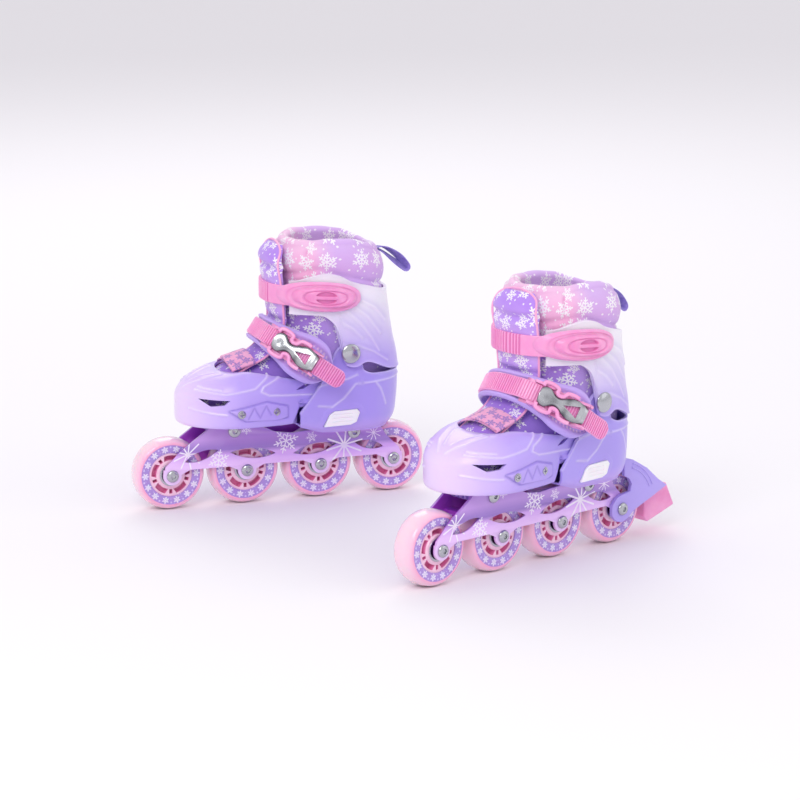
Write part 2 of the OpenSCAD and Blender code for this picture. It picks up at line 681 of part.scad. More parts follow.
// The tongue's inner face along its middle, from the instep to the top
tongue_path = [[-54, 132.6], [-40, 137.8], [-27, 143.6], [-14, 152], [-5.5, 163], [-1.2, 175],
    [-0.2, 190], [-0.6, 206], [-1, 222], [-1, 236], [1.5, 247]];
function tongue_dir(i) =
    let (a = tongue_path[max(0, i - 1)], b = tongue_path[min(len(tongue_path) - 1, i + 1)])
    (b - a) / norm(b - a);
function tongue_t(i) = lookup(i, [[0, 3], [2, 4], [4, 5], [6, 6.6], [8, 7.5], [10, 5]]);
function tongue_pt(i, k, t) =
    let (d = tongue_dir(i), q = tongue_path[i], half = lookup(i, [[0, 21], [3, 24], [10, 26]]),
         drop = 3.2 * k * k, off = t - drop)
    [q[0] - d[1] * off, half * k, q[1] + d[0] * off];

module tongue() {
    ks = [for (k = [1 : -0.2 : -1]) k];
    n = len(tongue_path);
    color("#b07be6") wall(
        [for (k = ks) [for (i = [0 : n - 1]) tongue_pt(i, k, tongue_t(i) * (1 - 0.35 * k * k))]],
        [for (k = ks) [for (i = [0 : n - 1]) tongue_pt(i, k, 0)]]);
}

module footbeds() {
    color("#8c6fc4") on_both() intersection() {
        across(-40, 40) polygon([[-80, 95.2], [-12, 95.2], [28, 103.4], [106, 103.4],
            [106, 106.2], [28, 106.2], [-12, 98], [-80, 98]]);
        linear_extrude(150) polygon(outline(-78, 100, 29, 28));
    }
}

module instep_strap() {
    rise = 15;
    r = 46;
    color(pink) translate([-32, 0, 146.4 - r]) rotate([0, -rise, 0]) intersection() {
        rotate([0, 90, 0]) difference() {
            cylinder(r = r + 3.4, h = 25, center = true, $fn = 96);
            cylinder(r = r, h = 30, center = true, $fn = 96);
        }
        translate([0, 0, r - 2]) cube([40, 51, 16], center = true);
    }
}

module pull_loop() {
    color("#6a52b8") across(-6, 6) difference() {
        polygon([[101.6, 244], [112, 242], [126, 232], [134, 221], [131, 219], [118, 228],
            [108, 236], [101.6, 240]]);
        polygon([[104, 242.2], [111, 240.6], [124, 231], [131, 222], [130, 221.4], [119, 230],
            [109, 238], [104, 240.6]]);
    }
}

// ---------- brake ----------
brake_out = plate_out + 4;

module brake_side() {
    difference() {
        across(-brake_out, -plate_out - 0.3) difference() {
            polygon([[115, 74], [116, 82], [126, 80], [145, 69], [160, 56], [172, 48], [152, 40],
                [128, 31], [120, 25], [112.5, 22], [105, 24], [99.5, 30], [99.5, 40], [105, 46],
                [112, 48.5], [123, 50], [125, 57], [121, 63], [115, 66]]);
        }
        round_bar(axles[3], axle_z, bearing_bore / 2, -30, 30);
    }
}

module brake_arm() {
    color(lavender) on_second() {
        brake_side();
        mirror([0, 1, 0]) brake_side();
        across(-brake_out + 1, brake_out - 1) difference() {
            polygon([[120, 73], [120, 81.4], [126, 80], [145, 69], [160, 56], [171, 48.5], [152, 41],
                [140, 36]]);
            translate([axles[3], axle_z]) circle(r = 37.5, $fn = 96);
        }
    }
}

module brake_pad() {
    color(pink) on_second() across(-13, 13) polygon([[153, 40.9], [172, 48.7], [181, 47], [192, 24],
        [156, 13], [151, 19], [151, 36]]);
}

// ---------- one skate's nodes ----------
module skate_node(n) {
    if (n == "frame") frame();
    if (n == "tyre_1") tyre(0);
    if (n == "tyre_2") tyre(1);
    if (n == "tyre_3") tyre(2);
    if (n == "tyre_4") tyre(3);
    if (n == "hub_1") hub(0);
    if (n == "hub_2") hub(1);
    if (n == "hub_3") hub(2);
    if (n == "hub_4") hub(3);
    if (n == "heel_shell") heel_shell();
    if (n == "toe_shell") toe_shell();
    if (n == "cuff") cuff();
    if (n == "liner") liner();
    if (n == "tongue") tongue();
    if (n == "cuff_strap") cuff_strap();
    if (n == "cuff_buckle") cuff_buckle();
    if (n == "cuff_lever") cuff_lever();
    if (n == "ankle_pad") ankle_pad();
    if (n == "ankle_strap") ankle_strap();
    if (n == "ankle_buckle") ankle_buckle();
    if (n == "ankle_lever") ankle_lever();
    if (n == "instep_strap") instep_strap();
    if (n == "size_button") size_button();
    if (n == "button_spring") button_spring();
    if (n == "toe_screws") toe_screws();
    if (n == "pull_loop") pull_loop();
}

for (n = PER_SKATE) {
    on_first() skate_node(n);
    on_second() skate_node(n);
}
wheel_bearings();
bearing_spacers();
axle_bolts();
mount_bolts();
ankle_rivets();
footbeds();
brake_arm();
brake_pad();
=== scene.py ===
# %% [markdown]
# # A pair of children's inline skates
#
# Two plastic boots stand on aluminium frames with four wheels each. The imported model
# gives every hard part its place, so this lesson adds what a CAD file leaves out: smooth
# moulded shells with raised lines, padded and printed cloth, ribbed straps, bevelled
# metal and a material for every finish.

# %% Load the frame
import math

import bmesh
import bpy
from mathutils import Matrix, Vector


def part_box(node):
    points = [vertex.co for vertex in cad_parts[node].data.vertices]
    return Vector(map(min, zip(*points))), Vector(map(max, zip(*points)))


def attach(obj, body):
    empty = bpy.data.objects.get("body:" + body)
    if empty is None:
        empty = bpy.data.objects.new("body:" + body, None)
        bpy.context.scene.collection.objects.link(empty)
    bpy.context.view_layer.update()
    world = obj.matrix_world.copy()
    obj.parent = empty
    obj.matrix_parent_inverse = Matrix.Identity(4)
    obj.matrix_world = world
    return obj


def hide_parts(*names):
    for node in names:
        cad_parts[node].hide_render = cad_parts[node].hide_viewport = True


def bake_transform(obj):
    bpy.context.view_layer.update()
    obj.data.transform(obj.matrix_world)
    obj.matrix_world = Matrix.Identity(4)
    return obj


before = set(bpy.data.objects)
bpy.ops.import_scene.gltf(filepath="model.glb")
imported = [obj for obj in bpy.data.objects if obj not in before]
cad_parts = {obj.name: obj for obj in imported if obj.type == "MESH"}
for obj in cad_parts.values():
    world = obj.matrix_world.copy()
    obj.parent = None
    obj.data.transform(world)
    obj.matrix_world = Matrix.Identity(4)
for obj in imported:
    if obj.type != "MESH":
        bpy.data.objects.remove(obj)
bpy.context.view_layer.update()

# %% [markdown]
# ## The camera
#
# A product shot is taken from far away with a long lens, so that the near skate doesn't
# look larger than the far one. The camera looks at the middle of the pair from the
# buckle side, a little towards the toes and a little from above. The lens is worked out
# from the width that the pair shows from there.

# %% Camera
AZIMUTH, ELEVATION, DISTANCE = math.radians(-19.5), math.radians(13), 3.6
SENSOR = 36
WIDTH_IN_VIEW = 0.69

towards = Vector((math.sin(AZIMUTH) * math.cos(ELEVATION),
                  -math.cos(AZIMUTH) * math.cos(ELEVATION), math.sin(ELEVATION)))
look = (-towards).to_track_quat("-Z", "Y")
corners = [v.co.copy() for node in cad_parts.values() for v in node.data.vertices]
across_view = [look.inverted() @ c for c in corners]
view_low, view_high = ([pick(c[i] for c in across_view) for i in range(3)] for pick in (min, max))
view_middle = Vector([(a + b) / 2 for a, b in zip(view_low, view_high)])
camera_data = bpy.data.cameras.new("camera")
camera_data.sensor_width = SENSOR
camera_data.lens = SENSOR * WIDTH_IN_VIEW * DISTANCE / (view_high[0] - view_low[0])
camera = bpy.data.objects.new("camera", camera_data)
camera.matrix_world = (Matrix.Translation(look @ view_middle + towards * DISTANCE)
                       @ look.to_matrix().to_4x4())
bpy.context.scene.collection.objects.link(camera)
bpy.context.scene.camera = camera
print("lens:", round(camera_data.lens), "mm")

# %% [markdown]
# ## Floor and light
#
# A pale floor and broad soft lamps are what such toys are sold in front of. The lamps
# are large, so shadows have soft edges and the plastic gets wide, gentle highlights.
# Colours are shown as they are, without a film curve, so the pastels stay clean.

# %% Floor, lamps and sky
bpy.context.scene.view_settings.view_transform = "Standard"


def linear(hex_colour):
    """The linear colour that a shader takes, from an sRGB hex value."""
    channels = [int(hex_colour[i:i + 2], 16) / 255 for i in (1, 3, 5)]
    return [c / 12.92 if c <= 0.04045 else ((c + 0.055) / 1.055) ** 2.4 for c in channels] + [1]


FLOOR_SIZE = 30
floor_bm = bmesh.new()
bmesh.ops.create_grid(floor_bm, x_segments=1, y_segments=1, size=FLOOR_SIZE / 2)
floor_mesh = bpy.data.meshes.new("floor")
floor_bm.to_mesh(floor_mesh)
floor = bpy.data.objects.new("floor", floor_mesh)
bpy.context.scene.collection.objects.link(floor)
floor_paint = bpy.data.materials.new("floor_paper")
floor_paint.use_nodes = True
floor_shader = floor_paint.node_tree.nodes["Principled BSDF"]
floor_shader.inputs["Base Color"].default_value = linear("#f4f2f5")
floor_shader.inputs["Roughness"].default_value = 0.9
floor_mesh.materials.append(floor_paint)

# Each lamp: where it stands, its size in metres and its power in watts
LAMPS = {"key_lamp": ((-1.3, -1.7, 1.9), 1.3, 22), "fill_lamp": ((1.9, -1.1, 1.2), 1.6, 4),
         "back_lamp": ((0.4, 1.9, 1.7), 1.4, 11)}
for lamp_name, (spot, size, watts) in LAMPS.items():
    lamp_data = bpy.data.lights.new(lamp_name, "AREA")
    lamp_data.size = size
    lamp_data.energy = watts
    lamp = bpy.data.objects.new(lamp_name, lamp_data)
    lamp.location = spot
    lamp.rotation_euler = (Vector((0, 0, 0.12)) - Vector(spot)).to_track_quat("-Z", "Y").to_euler()
    bpy.context.scene.collection.objects.link(lamp)
sky = bpy.data.worlds.new("pale_room")
sky.use_nodes = True
sky.node_tree.nodes["Background"].inputs[0].default_value = linear("#fbf9fd")
sky.node_tree.nodes["Background"].inputs[1].default_value = 0.84
bpy.context.scene.world = sky

# %% [markdown]
# ## The bench
#
# Both skates are built alike, so each piece is made once, in millimetres, on a bench
# where the toe points to -X, the buckles face -Y and the ground is z = 0. Then it is put
# on each skate. Where a skate stands and how far it is turned is read from its first and
# last hub. Every point keeps its bench place in an attribute named `local`, so that one
# material fits both skates.

# %% Where each skate stands
SIDES = ("left", "right")
MM = 0.001


def middle(node):
    """The middle of a CAD node's box."""
    low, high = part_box(node)
    return (low + high) / 2


def skate_place(side):
    """The matrix from the bench to the skate's place in the frame."""
    front, rear = middle(f"{side}_hub_1"), middle(f"{side}_hub_4")
    turn = math.atan2(rear.y - front.y, rear.x - front.x)
    between = (front + rear) / 2
    return (Matrix.Translation((between.x, between.y, 0)) @ Matrix.Rotation(turn, 4, "Z")
            @ Matrix.Scale(MM, 4))


PLACE = {side: skate_place(side) for side in SIDES}
BENCH = {side: PLACE[side].inverted() for side in SIDES}
WHEELBASE = (middle("left_hub_4") - middle("left_hub_1")).length / MM
AXLE_Z = middle("left_hub_1").z / MM
PITCH = WHEELBASE / 3
AXLES = [(i - 1.5) * PITCH for i in range(4)]
print("wheelbase:", round(WHEELBASE, 1), "mm, second skate turned",
      round(math.degrees(PLACE["right"].to_euler().z), 1), "degrees")

# %% Putting a finished mesh on its skate
def same_place(spot):
    """A piece's pattern is centred on the skate itself."""
    return spot


def about_axle(spot):
    """A wheel part's pattern is centred on its own axle."""
    nearest = min(AXLES, key=lambda x: abs(x - spot.x))
    return spot - Vector((nearest, 0, AXLE_Z))


def put(mesh, name, side, body, finish, replaces=(), pattern=same_place, sharp=35):
    """Place a copy of a bench mesh on one skate, as a piece that rides on a body."""
    mesh = mesh.copy()
    mesh.name = name
    spots = [c for v in mesh.vertices for c in pattern(v.co)]
    local = mesh.attributes.new("local", "FLOAT_VECTOR", "POINT")
    local.data.foreach_set("vector", spots)
    mesh.transform(PLACE[side])
    mesh.shade_smooth()
    mesh.set_sharp_from_angle(angle=math.radians(sharp))
    mesh.materials.clear()
    mesh.materials.append(finish)
    piece = bpy.data.objects.new(name, mesh)
    bpy.context.scene.collection.objects.link(piece)
    if body:
        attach(piece, body)
    if replaces:
        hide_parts(*replaces)
    return piece


def on_both(mesh, name, node, body, finish, sharp=35):
    """Put a bench mesh on both skates in place of a CAD node; all names start with the side."""
    for side in SIDES:
        ridden = body if body == "base" else f"{side}_{body}"
        put(mesh, f"{side}_{name}", side, ridden, finish, replaces=(f"{side}_{node}",),
            sharp=sharp)


# %% Finishing a bench shape
def bench_mesh(bm, name="bench"):
    mesh = bpy.data.meshes.new(name)
    bm.to_mesh(mesh)
    return mesh


def finished(bm, wall=0, bevel=0, cuts=(), angle=40):
    """Give a sheet its wall, cut holes in it, round its edges and return the mesh."""
    bench = bpy.data.objects.new("bench", bench_mesh(bm))
    bpy.context.scene.collection.objects.link(bench)
    if wall:
        solid = bench.modifiers.new("wall", "SOLIDIFY")
        solid.thickness = wall
        solid.offset = -1
    tools = []
    for cut in cuts:
        tool = bpy.data.objects.new("tool", bench_mesh(cut))
        bpy.context.scene.collection.objects.link(tool)
        hole = bench.modifiers.new("hole", "BOOLEAN")
        hole.object = tool
        tools.append(tool)
    if bevel:
        rounding = bench.modifiers.new("rounding", "BEVEL")
        rounding.width = bevel
        rounding.segments = 2
        rounding.limit_method = "ANGLE"
        rounding.angle_limit = math.radians(angle)
    graph = bpy.context.evaluated_depsgraph_get()
    mesh = bpy.data.meshes.new_from_object(bench.evaluated_get(graph))
    for used in tools + [bench]:
        bpy.data.objects.remove(used)
    return mesh


# %% [markdown]
# ## Shapes from formulas
#
# Most of the boot is sheets: a shell, a strap, a liner wall. A grid that is bent by a
# formula makes each of them with even faces, and a raised line is only a small push
# along the way out. `sheet` bends the grid, `loop` does the same for a closed section
# that runs along a path, such as a strap or a padded roll.

# %% Small measuring tools
def curve(x, knots):
    """A smooth line through the knots, level with the first and last one outside them."""
    if x <= knots[0][0]:
        return knots[0][1]
    if x >= knots[-1][0]:
        return knots[-1][1]
    i = max(k for k in range(len(knots) - 1) if knots[k][0] <= x)
    (x0, y0), (x1, y1) = knots[i], knots[i + 1]

    def slope(k):
        a, b = knots[max(k - 1, 0)], knots[min(k + 1, len(knots) - 1)]
        return (b[1] - a[1]) / (b[0] - a[0])

    width = x1 - x0
    t = (x - x0) / width
    return (y0 * (1 + 2 * t) * (1 - t) ** 2 + y1 * t * t * (3 - 2 * t)
            + width * slope(i) * t * (1 - t) ** 2 - width * slope(i + 1) * t * t * (1 - t))


def mix(a, b, k):
    return a + (b - a) * min(1, max(0, k))


def power(value, exponent):
    return math.copysign(abs(value) ** exponent, value)


def gap(spot, line):
    """The distance in a plane from a spot to a line of points."""
    best = 1e9
    px, py = spot
    for (ax, ay), (bx, by) in zip(line, line[1:]):
        dx, dy = bx - ax, by - ay
        k = min(1, max(0, ((px - ax) * dx + (py - ay) * dy) / (dx * dx + dy * dy)))
        best = min(best, math.hypot(px - ax - k * dx, py - ay - k * dy))
    return best


def inside(spot, outline):
    """How deep a spot lies inside a closed outline; negative outside it."""
    px, py = spot
    odd = False
    for (ax, ay), (bx, by) in zip(outline, outline[1:] + outline[:1]):
        if (ay > py) != (by > py) and px < (bx - ax) * (py - ay) / (by - ay) + ax:
            odd = not odd
    depth = gap(spot, outline + outline[:1])
    return depth if odd else -depth


def bump(distance, width):
    """1 on a line, falling softly to 0 about a width away."""
    return math.exp(-(distance / width) ** 2)


def step(value, edge):
    """0 below zero and 1 past the edge, with a soft change between."""
    t = min(1, max(0, value / edge))
    return t * t * (3 - 2 * t)


# %% Bending a grid
def sheet(nu, nv, place, closed=False):
    """A grid bent by place(u, v), which returns the spot and its flat coordinates."""
    bm = bmesh.new()
    flat = bm.verts.layers.float_vector.new("flat")
    bmesh.ops.create_grid(bm, x_segments=nu, y_segments=nv, size=0.5)
    for vert in bm.verts:
        spot, cloth = place(vert.co.x + 0.5, vert.co.y + 0.5)
        vert[flat] = cloth
        vert.co = spot
    if closed:
        bmesh.ops.remove_doubles(bm, verts=bm.verts, dist=0.001)
    return bm


def close_ends(bm):
    """Fill the open ends of a tube and turn every face outwards."""
    rims = [e for e in bm.edges if e.is_boundary]
    bmesh.ops.holes_fill(bm, edges=rims, sides=0)
    bmesh.ops.recalc_face_normals(bm, faces=bm.faces)
    return bm


def loop(nu, nv, path, section, length=1):
    """A closed section carried along a path of a length.

    path(v) gives the spot, the way out and the way across the band;
    section(u, v) gives how far out and how far across each point of the section lies,
    and its mark if it has one.
    """
    def place(u, v):
        spot, out, side = path(v)
        away, along, *mark = section(u, v)
        return spot + out * away + side * along, (v * length, along, mark[0] if mark else 0)
    return close_ends(sheet(nu, nv, place, closed=True))


def rounded(u, half_out, half_across, square=0.45):
    """A rounded rectangle: u runs once round it, starting in the middle of its inner side."""
    turn = 2 * math.pi * u
    return (-half_out * power(math.cos(turn), square), half_across * power(math.sin(turn), square))


def slab(outline, y0, y1):
    """A side-view outline, in x and z, extruded across the skate."""
    bm = bmesh.new()
    face = bm.faces.new([bm.verts.new((x, y0, z)) for x, z in outline])
    made = bmesh.ops.extrude_face_region(bm, geom=[face])
    moved = [g for g in made["geom"] if isinstance(g, bmesh.types.BMVert)]
    bmesh.ops.translate(bm, verts=moved, vec=(0, y1 - y0, 0))
    bmesh.ops.recalc_face_normals(bm, faces=bm.faces)
    return bm


def unmarked(mesh):
    """A mesh with an empty cloth attribute, so that its finish draws no marks."""
    mesh.attributes.new("flat", "FLOAT_VECTOR", "POINT")
    return mesh


def cad_copy(node, side, bevel, angle=35, segments=2):
    """A CAD node on the bench, merged, with its flat faces whole and its edges rounded."""
    bm = bmesh.new()
    bm.from_mesh(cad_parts[node].data)
    bmesh.ops.transform(bm, matrix=BENCH[side], verts=bm.verts)
    bmesh.ops.remove_doubles(bm, verts=bm.verts, dist=0.005)
    bmesh.ops.dissolve_limit(bm, angle_limit=math.radians(1), verts=bm.verts, edges=bm.edges)
    sharp = [e for e in bm.edges if e.is_manifold and e.calc_face_angle(0) > math.radians(angle)]
    bmesh.ops.bevel(bm, geom=sharp, offset=bevel, segments=segments, profile=0.5, material=-1,
                    affect="EDGES", clamp_overlap=True)
    return unmarked(bench_mesh(bm, node))


# %% [markdown]
# ## Materials
#
# Every finish starts from what it is. `add` makes one node with its settings and links,
# and `material` starts a finish with its Principled shader.

# %% Node helpers
def result(node):
    """The output that a node is set to give."""
    return next(o for o in node.outputs if o.enabled)


def add(tree, kind, inputs=None, **settings):
    """Add one node, with its settings, and set or link its inputs."""
    node = tree.nodes.new(kind)
    for name, value in settings.items():
        setattr(node, name, value)
    for key, value in (inputs or {}).items():
        if isinstance(value, bpy.types.Node):
            value = result(value)
        if isinstance(value, bpy.types.NodeSocket):
            tree.links.new(value, node.inputs[key])
        else:
            node.inputs[key].default_value = value
    return node


def material(name, **sockets):
    """A new material; the words are Principled sockets, with _ for a space."""
    made = bpy.data.materials.new(name)
    made.use_nodes = True
    shader = made.node_tree.nodes["Principled BSDF"]
    for key, value in sockets.items():
        shader.inputs[key.replace("_", " ")].default_value = value
    return made, made.node_tree, shader


def plug(tree, node, shader, socket="Base Color"):
    """Link a node's result to a socket of the shader."""
    tree.links.new(result(node), shader.inputs[socket])


def calc(tree, operation, *values):
    """A Math node over its values."""
    return add(tree, "ShaderNodeMath", dict(enumerate(values)), operation=operation)


def vector_calc(tree, operation, *values):
    """A Vector Math node over its values."""
    return add(tree, "ShaderNodeVectorMath", dict(enumerate(values)), operation=operation)


def split(tree, place):
    """A place's x, y and z as the three outputs of a node."""
    return add(tree, "ShaderNodeSeparateXYZ", {0: place})


def clouds(tree, place, per_mm, detail=2.0):
    """Soft noise with per_mm patches to the millimetre."""
    return add(tree, "ShaderNodeTexNoise", {"Vector": place, "Scale": per_mm, "Detail": detail})


def read(tree, name):
    """A piece's own attribute as a vector."""
    return add(tree, "ShaderNodeAttribute", attribute_name=name).outputs["Vector"]


def grain(tree, shader, place, per_mm, depth_mm, detail=2):
    """A fine random bump: per_mm grains to the millimetre, depth_mm deep."""
    noise = clouds(tree, place, per_mm, detail)
    raised = add(tree, "ShaderNodeBump", {"Height": noise, "Distance": depth_mm * MM})
    plug(tree, raised, shader, "Normal")
    return noise


def ramp(tree, value, stops):
    """Colours along a value: stops are (value from 0 to 1, hex)."""
    node = add(tree, "ShaderNodeValToRGB", {0: value})
    while len(node.color_ramp.elements) < len(stops):
        node.color_ramp.elements.new(0.5)
    for element, (at, colour) in zip(node.color_ramp.elements, stops):
        element.position = at
        element.color = linear(colour)
    return node


# %% Snow crystals for the prints
def flake_mask(tree, offset, branches=((0.34, 0.26), (0.62, 0.22)), arms=6, thin=0.05):
    """1 on a snow crystal of radius 1 about offset's zero, 0 elsewhere.

    An angle folded back and forth turns one arm into all of them; each branch leaves its
    arm at 60 degrees.
    """
    place = split(tree, offset)
    radius = vector_calc(tree, "LENGTH", offset).outputs["Value"]
    angle = calc(tree, "ARCTAN2", place.outputs[0], place.outputs[1])
    fold = calc(tree, "PINGPONG", angle, math.pi / arms)
    cosine = calc(tree, "COSINE", fold)
    sine = calc(tree, "SINE", fold)
    along = calc(tree, "MULTIPLY", radius, cosine)
    aside = calc(tree, "MULTIPLY", radius, sine)
    mask = calc(tree, "LESS_THAN", aside, thin)
    for start, reach in branches:
        past = calc(tree, "SUBTRACT", along, start)
        tall = calc(tree, "MULTIPLY", past, math.sin(math.pi / 3))
        lean = calc(tree, "MULTIPLY", aside, math.cos(math.pi / 3))
        near = calc(tree, "COMPARE", tall, lean, thin)
        short = calc(tree, "LESS_THAN", aside, reach)
        branch = calc(tree, "MULTIPLY", near, short)
        mask = calc(tree, "MAXIMUM", mask, branch)
    within = calc(tree, "LESS_THAN", radius, 1.0)
    return calc(tree, "MULTIPLY", mask, within)


def scattered_flakes(tree, place, cell, small=0.28, large=0.5, thin=0.06):
    """Snow crystals about a cell's width apart, each with its own size and turn."""
    scaled = vector_calc(tree, "MULTIPLY", place, (1 / cell, 1 / cell, 0))
    cells = add(tree, "ShaderNodeTexVoronoi", {"Vector": scaled, "Scale": 1.0, "Randomness": 0.6},
                voronoi_dimensions="2D")
    offset = vector_calc(tree, "SUBTRACT", scaled, cells.outputs["Position"])
    chance = add(tree, "ShaderNodeSeparateColor", {0: cells.outputs["Color"]})
    turn = calc(tree, "MULTIPLY", chance.outputs[0], math.tau)
    turned = add(tree, "ShaderNodeVectorRotate", {"Vector": offset, "Angle": turn},
                 rotation_type="Z_AXIS")
    size = add(tree, "ShaderNodeMapRange", {"Value": chance.outputs[1], "To Min": 1 / small,
                                            "To Max": 1 / large})
    grown = add(tree, "ShaderNodeVectorMath", {0: turned, "Scale": size}, operation="SCALE")
    return flake_mask(tree, grown, thin=thin)


def sparkles(tree, place, cell, radius):
    """Small round dots, each with its own place in a cell; radius is a share of the cell."""
    scaled = vector_calc(tree, "MULTIPLY", place, (1 / cell, 1 / cell, 0))
    cells = add(tree, "ShaderNodeTexVoronoi", {"Vector": scaled, "Scale": 1.0, "Randomness": 1.0},
                voronoi_dimensions="2D")
    return calc(tree, "LESS_THAN", cells.outputs["Distance"], radius)


def over(tree, base, mask, colour, strength=1.0):
    """A printed colour over a base where the mask is 1."""
    factor = calc(tree, "MULTIPLY", mask, strength)
    return add(tree, "ShaderNodeMix", {0: factor, 6: base, 7: linear(colour)}, data_type="RGBA")


def decal(tree, place, centre, radius, turn=0, **shape):
    """One snow crystal printed at a spot of the side view, in millimetres."""
    moved = add(tree, "ShaderNodeMapping", {
        "Vector": place, "Location": (-centre[0] / radius, -centre[1] / radius, 0),
        "Scale": (1 / radius, 1 / radius, 0)})
    turned = add(tree, "ShaderNodeVectorRotate", {"Vector": moved, "Angle": math.radians(turn)},
                 rotation_type="Z_AXIS")
    return flake_mask(tree, turned, **shape)


def side_view(tree, place):
    """The x and z of a place as a flat place."""
    parts = split(tree, place)
    return add(tree, "ShaderNodeCombineXYZ", {0: parts.outputs[0], 1: parts.outputs[2]})

# %% [markdown]
# ## Moulded plastic
#
# The shells are injection-moulded polypropylene. Its surface is nearly smooth, with a
# faint spark-eroded grain from the mould, and the colour runs from one tint to the next
# because the shells are sprayed. Raised lines and rims are painted lighter as a highlight,
# and grooves and the swells under the cuff's lines are painted darker as shade.

# %% Moulded shells
def moulded(name, axis, stops, low, high):
    """Sprayed polypropylene whose colour changes along one bench axis."""
    made, tree, shader = material(name, Roughness=0.33, Coat_Weight=0.35, Coat_Roughness=0.22,
                                  Subsurface_Weight=0.12, Subsurface_Radius=(1.0, 0.6, 0.8),
                                  Subsurface_Scale=2.5 * MM)
    place = read(tree, "local")
    parts = split(tree, place)
    drift = clouds(tree, place, 0.03, 1.0)
    wander = calc(tree, "MULTIPLY_ADD", drift, 9.0, parts.outputs["XYZ".index(axis)])
    share = add(tree, "ShaderNodeMapRange", {"Value": wander, "From Min": low, "From Max": high})
    colours = ramp(tree, share, stops)
    marks = split(tree, read(tree, "flat"))
    # Raised lines and rims are painted lighter: a painted highlight.
    lit_ridges = over(tree, colours, marks.outputs[2], "#f3ecff", 0.45)
    # Negative marks, in grooves and on the swells under the cuff's lines, are painted deeper purple:
    # painted shade.
    shaded_grooves = over(tree, lit_ridges, marks.outputs[2], "#8672d2", -0.6)
    plug(tree, shaded_grooves, shader)
    # The mould's grain is about 0.3 mm wide; it is drawn at 0.8 mm so that it shows
    grain(tree, shader, place, 1.25, 0.03)
    return made


HEEL_PLASTIC = moulded("moulded_lavender_polypropylene", "Z",
                       [(0, "#c6a4f4"), (0.2, "#b09df0"), (0.65, "#ad9bef"), (1, "#b5a0f2")],
                       72, 162)
TOE_PLASTIC = moulded("moulded_lilac_polypropylene", "X",
                      [(0, "#f0d9fc"), (0.2, "#d8bffb"), (0.5, "#bea6f4"), (1, "#ae9af0")],
                      -103, 10)
CUFF_PLASTIC = moulded("moulded_white_to_lavender_polypropylene", "Z",
                       [(0, "#af9aee"), (0.2, "#bda9f2"), (0.5, "#dcd0f6"), (0.75, "#f1ecf9"),
                        (1, "#f5f1fa")], 128, 226)
ARM_PLASTIC = moulded("moulded_lavender_brake_arm", "X", [(0, "#b3a0f0"), (1, "#b6a5f2")],
                      95, 175)

# %% [markdown]
# ## Soft pink plastic, rubber and urethane
#
# Straps and buckles are a glossy, slightly soft polyurethane; light goes a little way in,
# so their pink looks warm. The tyres are the same family, cast nearly clear, with a ring
# printed on each side.

# %% Pink plastics
def soft_plastic(name, colour, rough, light="#f9afda", deep="#dc6cb0"):
    """Soft glossy polyurethane with a faint moulded grain; its grooves and hollows are painted a
    deeper tint as shade.
    """
    made, tree, shader = material(name, Roughness=rough, Coat_Weight=0.3, Coat_Roughness=0.15,
                                  Subsurface_Weight=0.25, Subsurface_Radius=(1.0, 0.35, 0.5),
                                  Subsurface_Scale=2 * MM)
    place = read(tree, "local")
    cloud = clouds(tree, place, 0.06, 2.0)
    tint = ramp(tree, cloud, [(0.3, colour), (0.75, light)])
    marks = split(tree, read(tree, "flat"))
    # Marked grooves and hollows are painted the deeper tint: painted shade.
    shaded_grooves = over(tree, tint, marks.outputs[2], deep, 0.75)
    plug(tree, shaded_grooves, shader)
    grain(tree, shader, place, 1.2, 0.01)
    return made


STRAP_PINK = soft_plastic("moulded_pink_polyurethane", "#f59ad2", 0.34)
BUCKLE_PINK = soft_plastic("moulded_deep_pink_polyurethane", "#ee86c4", 0.3)
PAD_RUBBER = soft_plastic("moulded_pink_brake_rubber", "#ee8fc6", 0.6)


def ring_flakes(tree, flat, ring_r, count, start, size):
    """Snow crystals at equal steps round a ring, about the centre of flat."""
    place = split(tree, flat)
    angle = calc(tree, "ARCTAN2", place.outputs[1], place.outputs[0])
    shifted = calc(tree, "ADD", angle, start)
    turn = calc(tree, "WRAP", shifted, math.pi / count, -math.pi / count)
    radius = vector_calc(tree, "LENGTH", flat).outputs["Value"]
    aside = calc(tree, "MULTIPLY", turn, ring_r / size)
    beyond = calc(tree, "MULTIPLY_ADD", radius, 1 / size, -ring_r / size)
    offset = add(tree, "ShaderNodeCombineXYZ", {0: aside, 1: beyond})
    return flake_mask(tree, offset, thin=0.08)


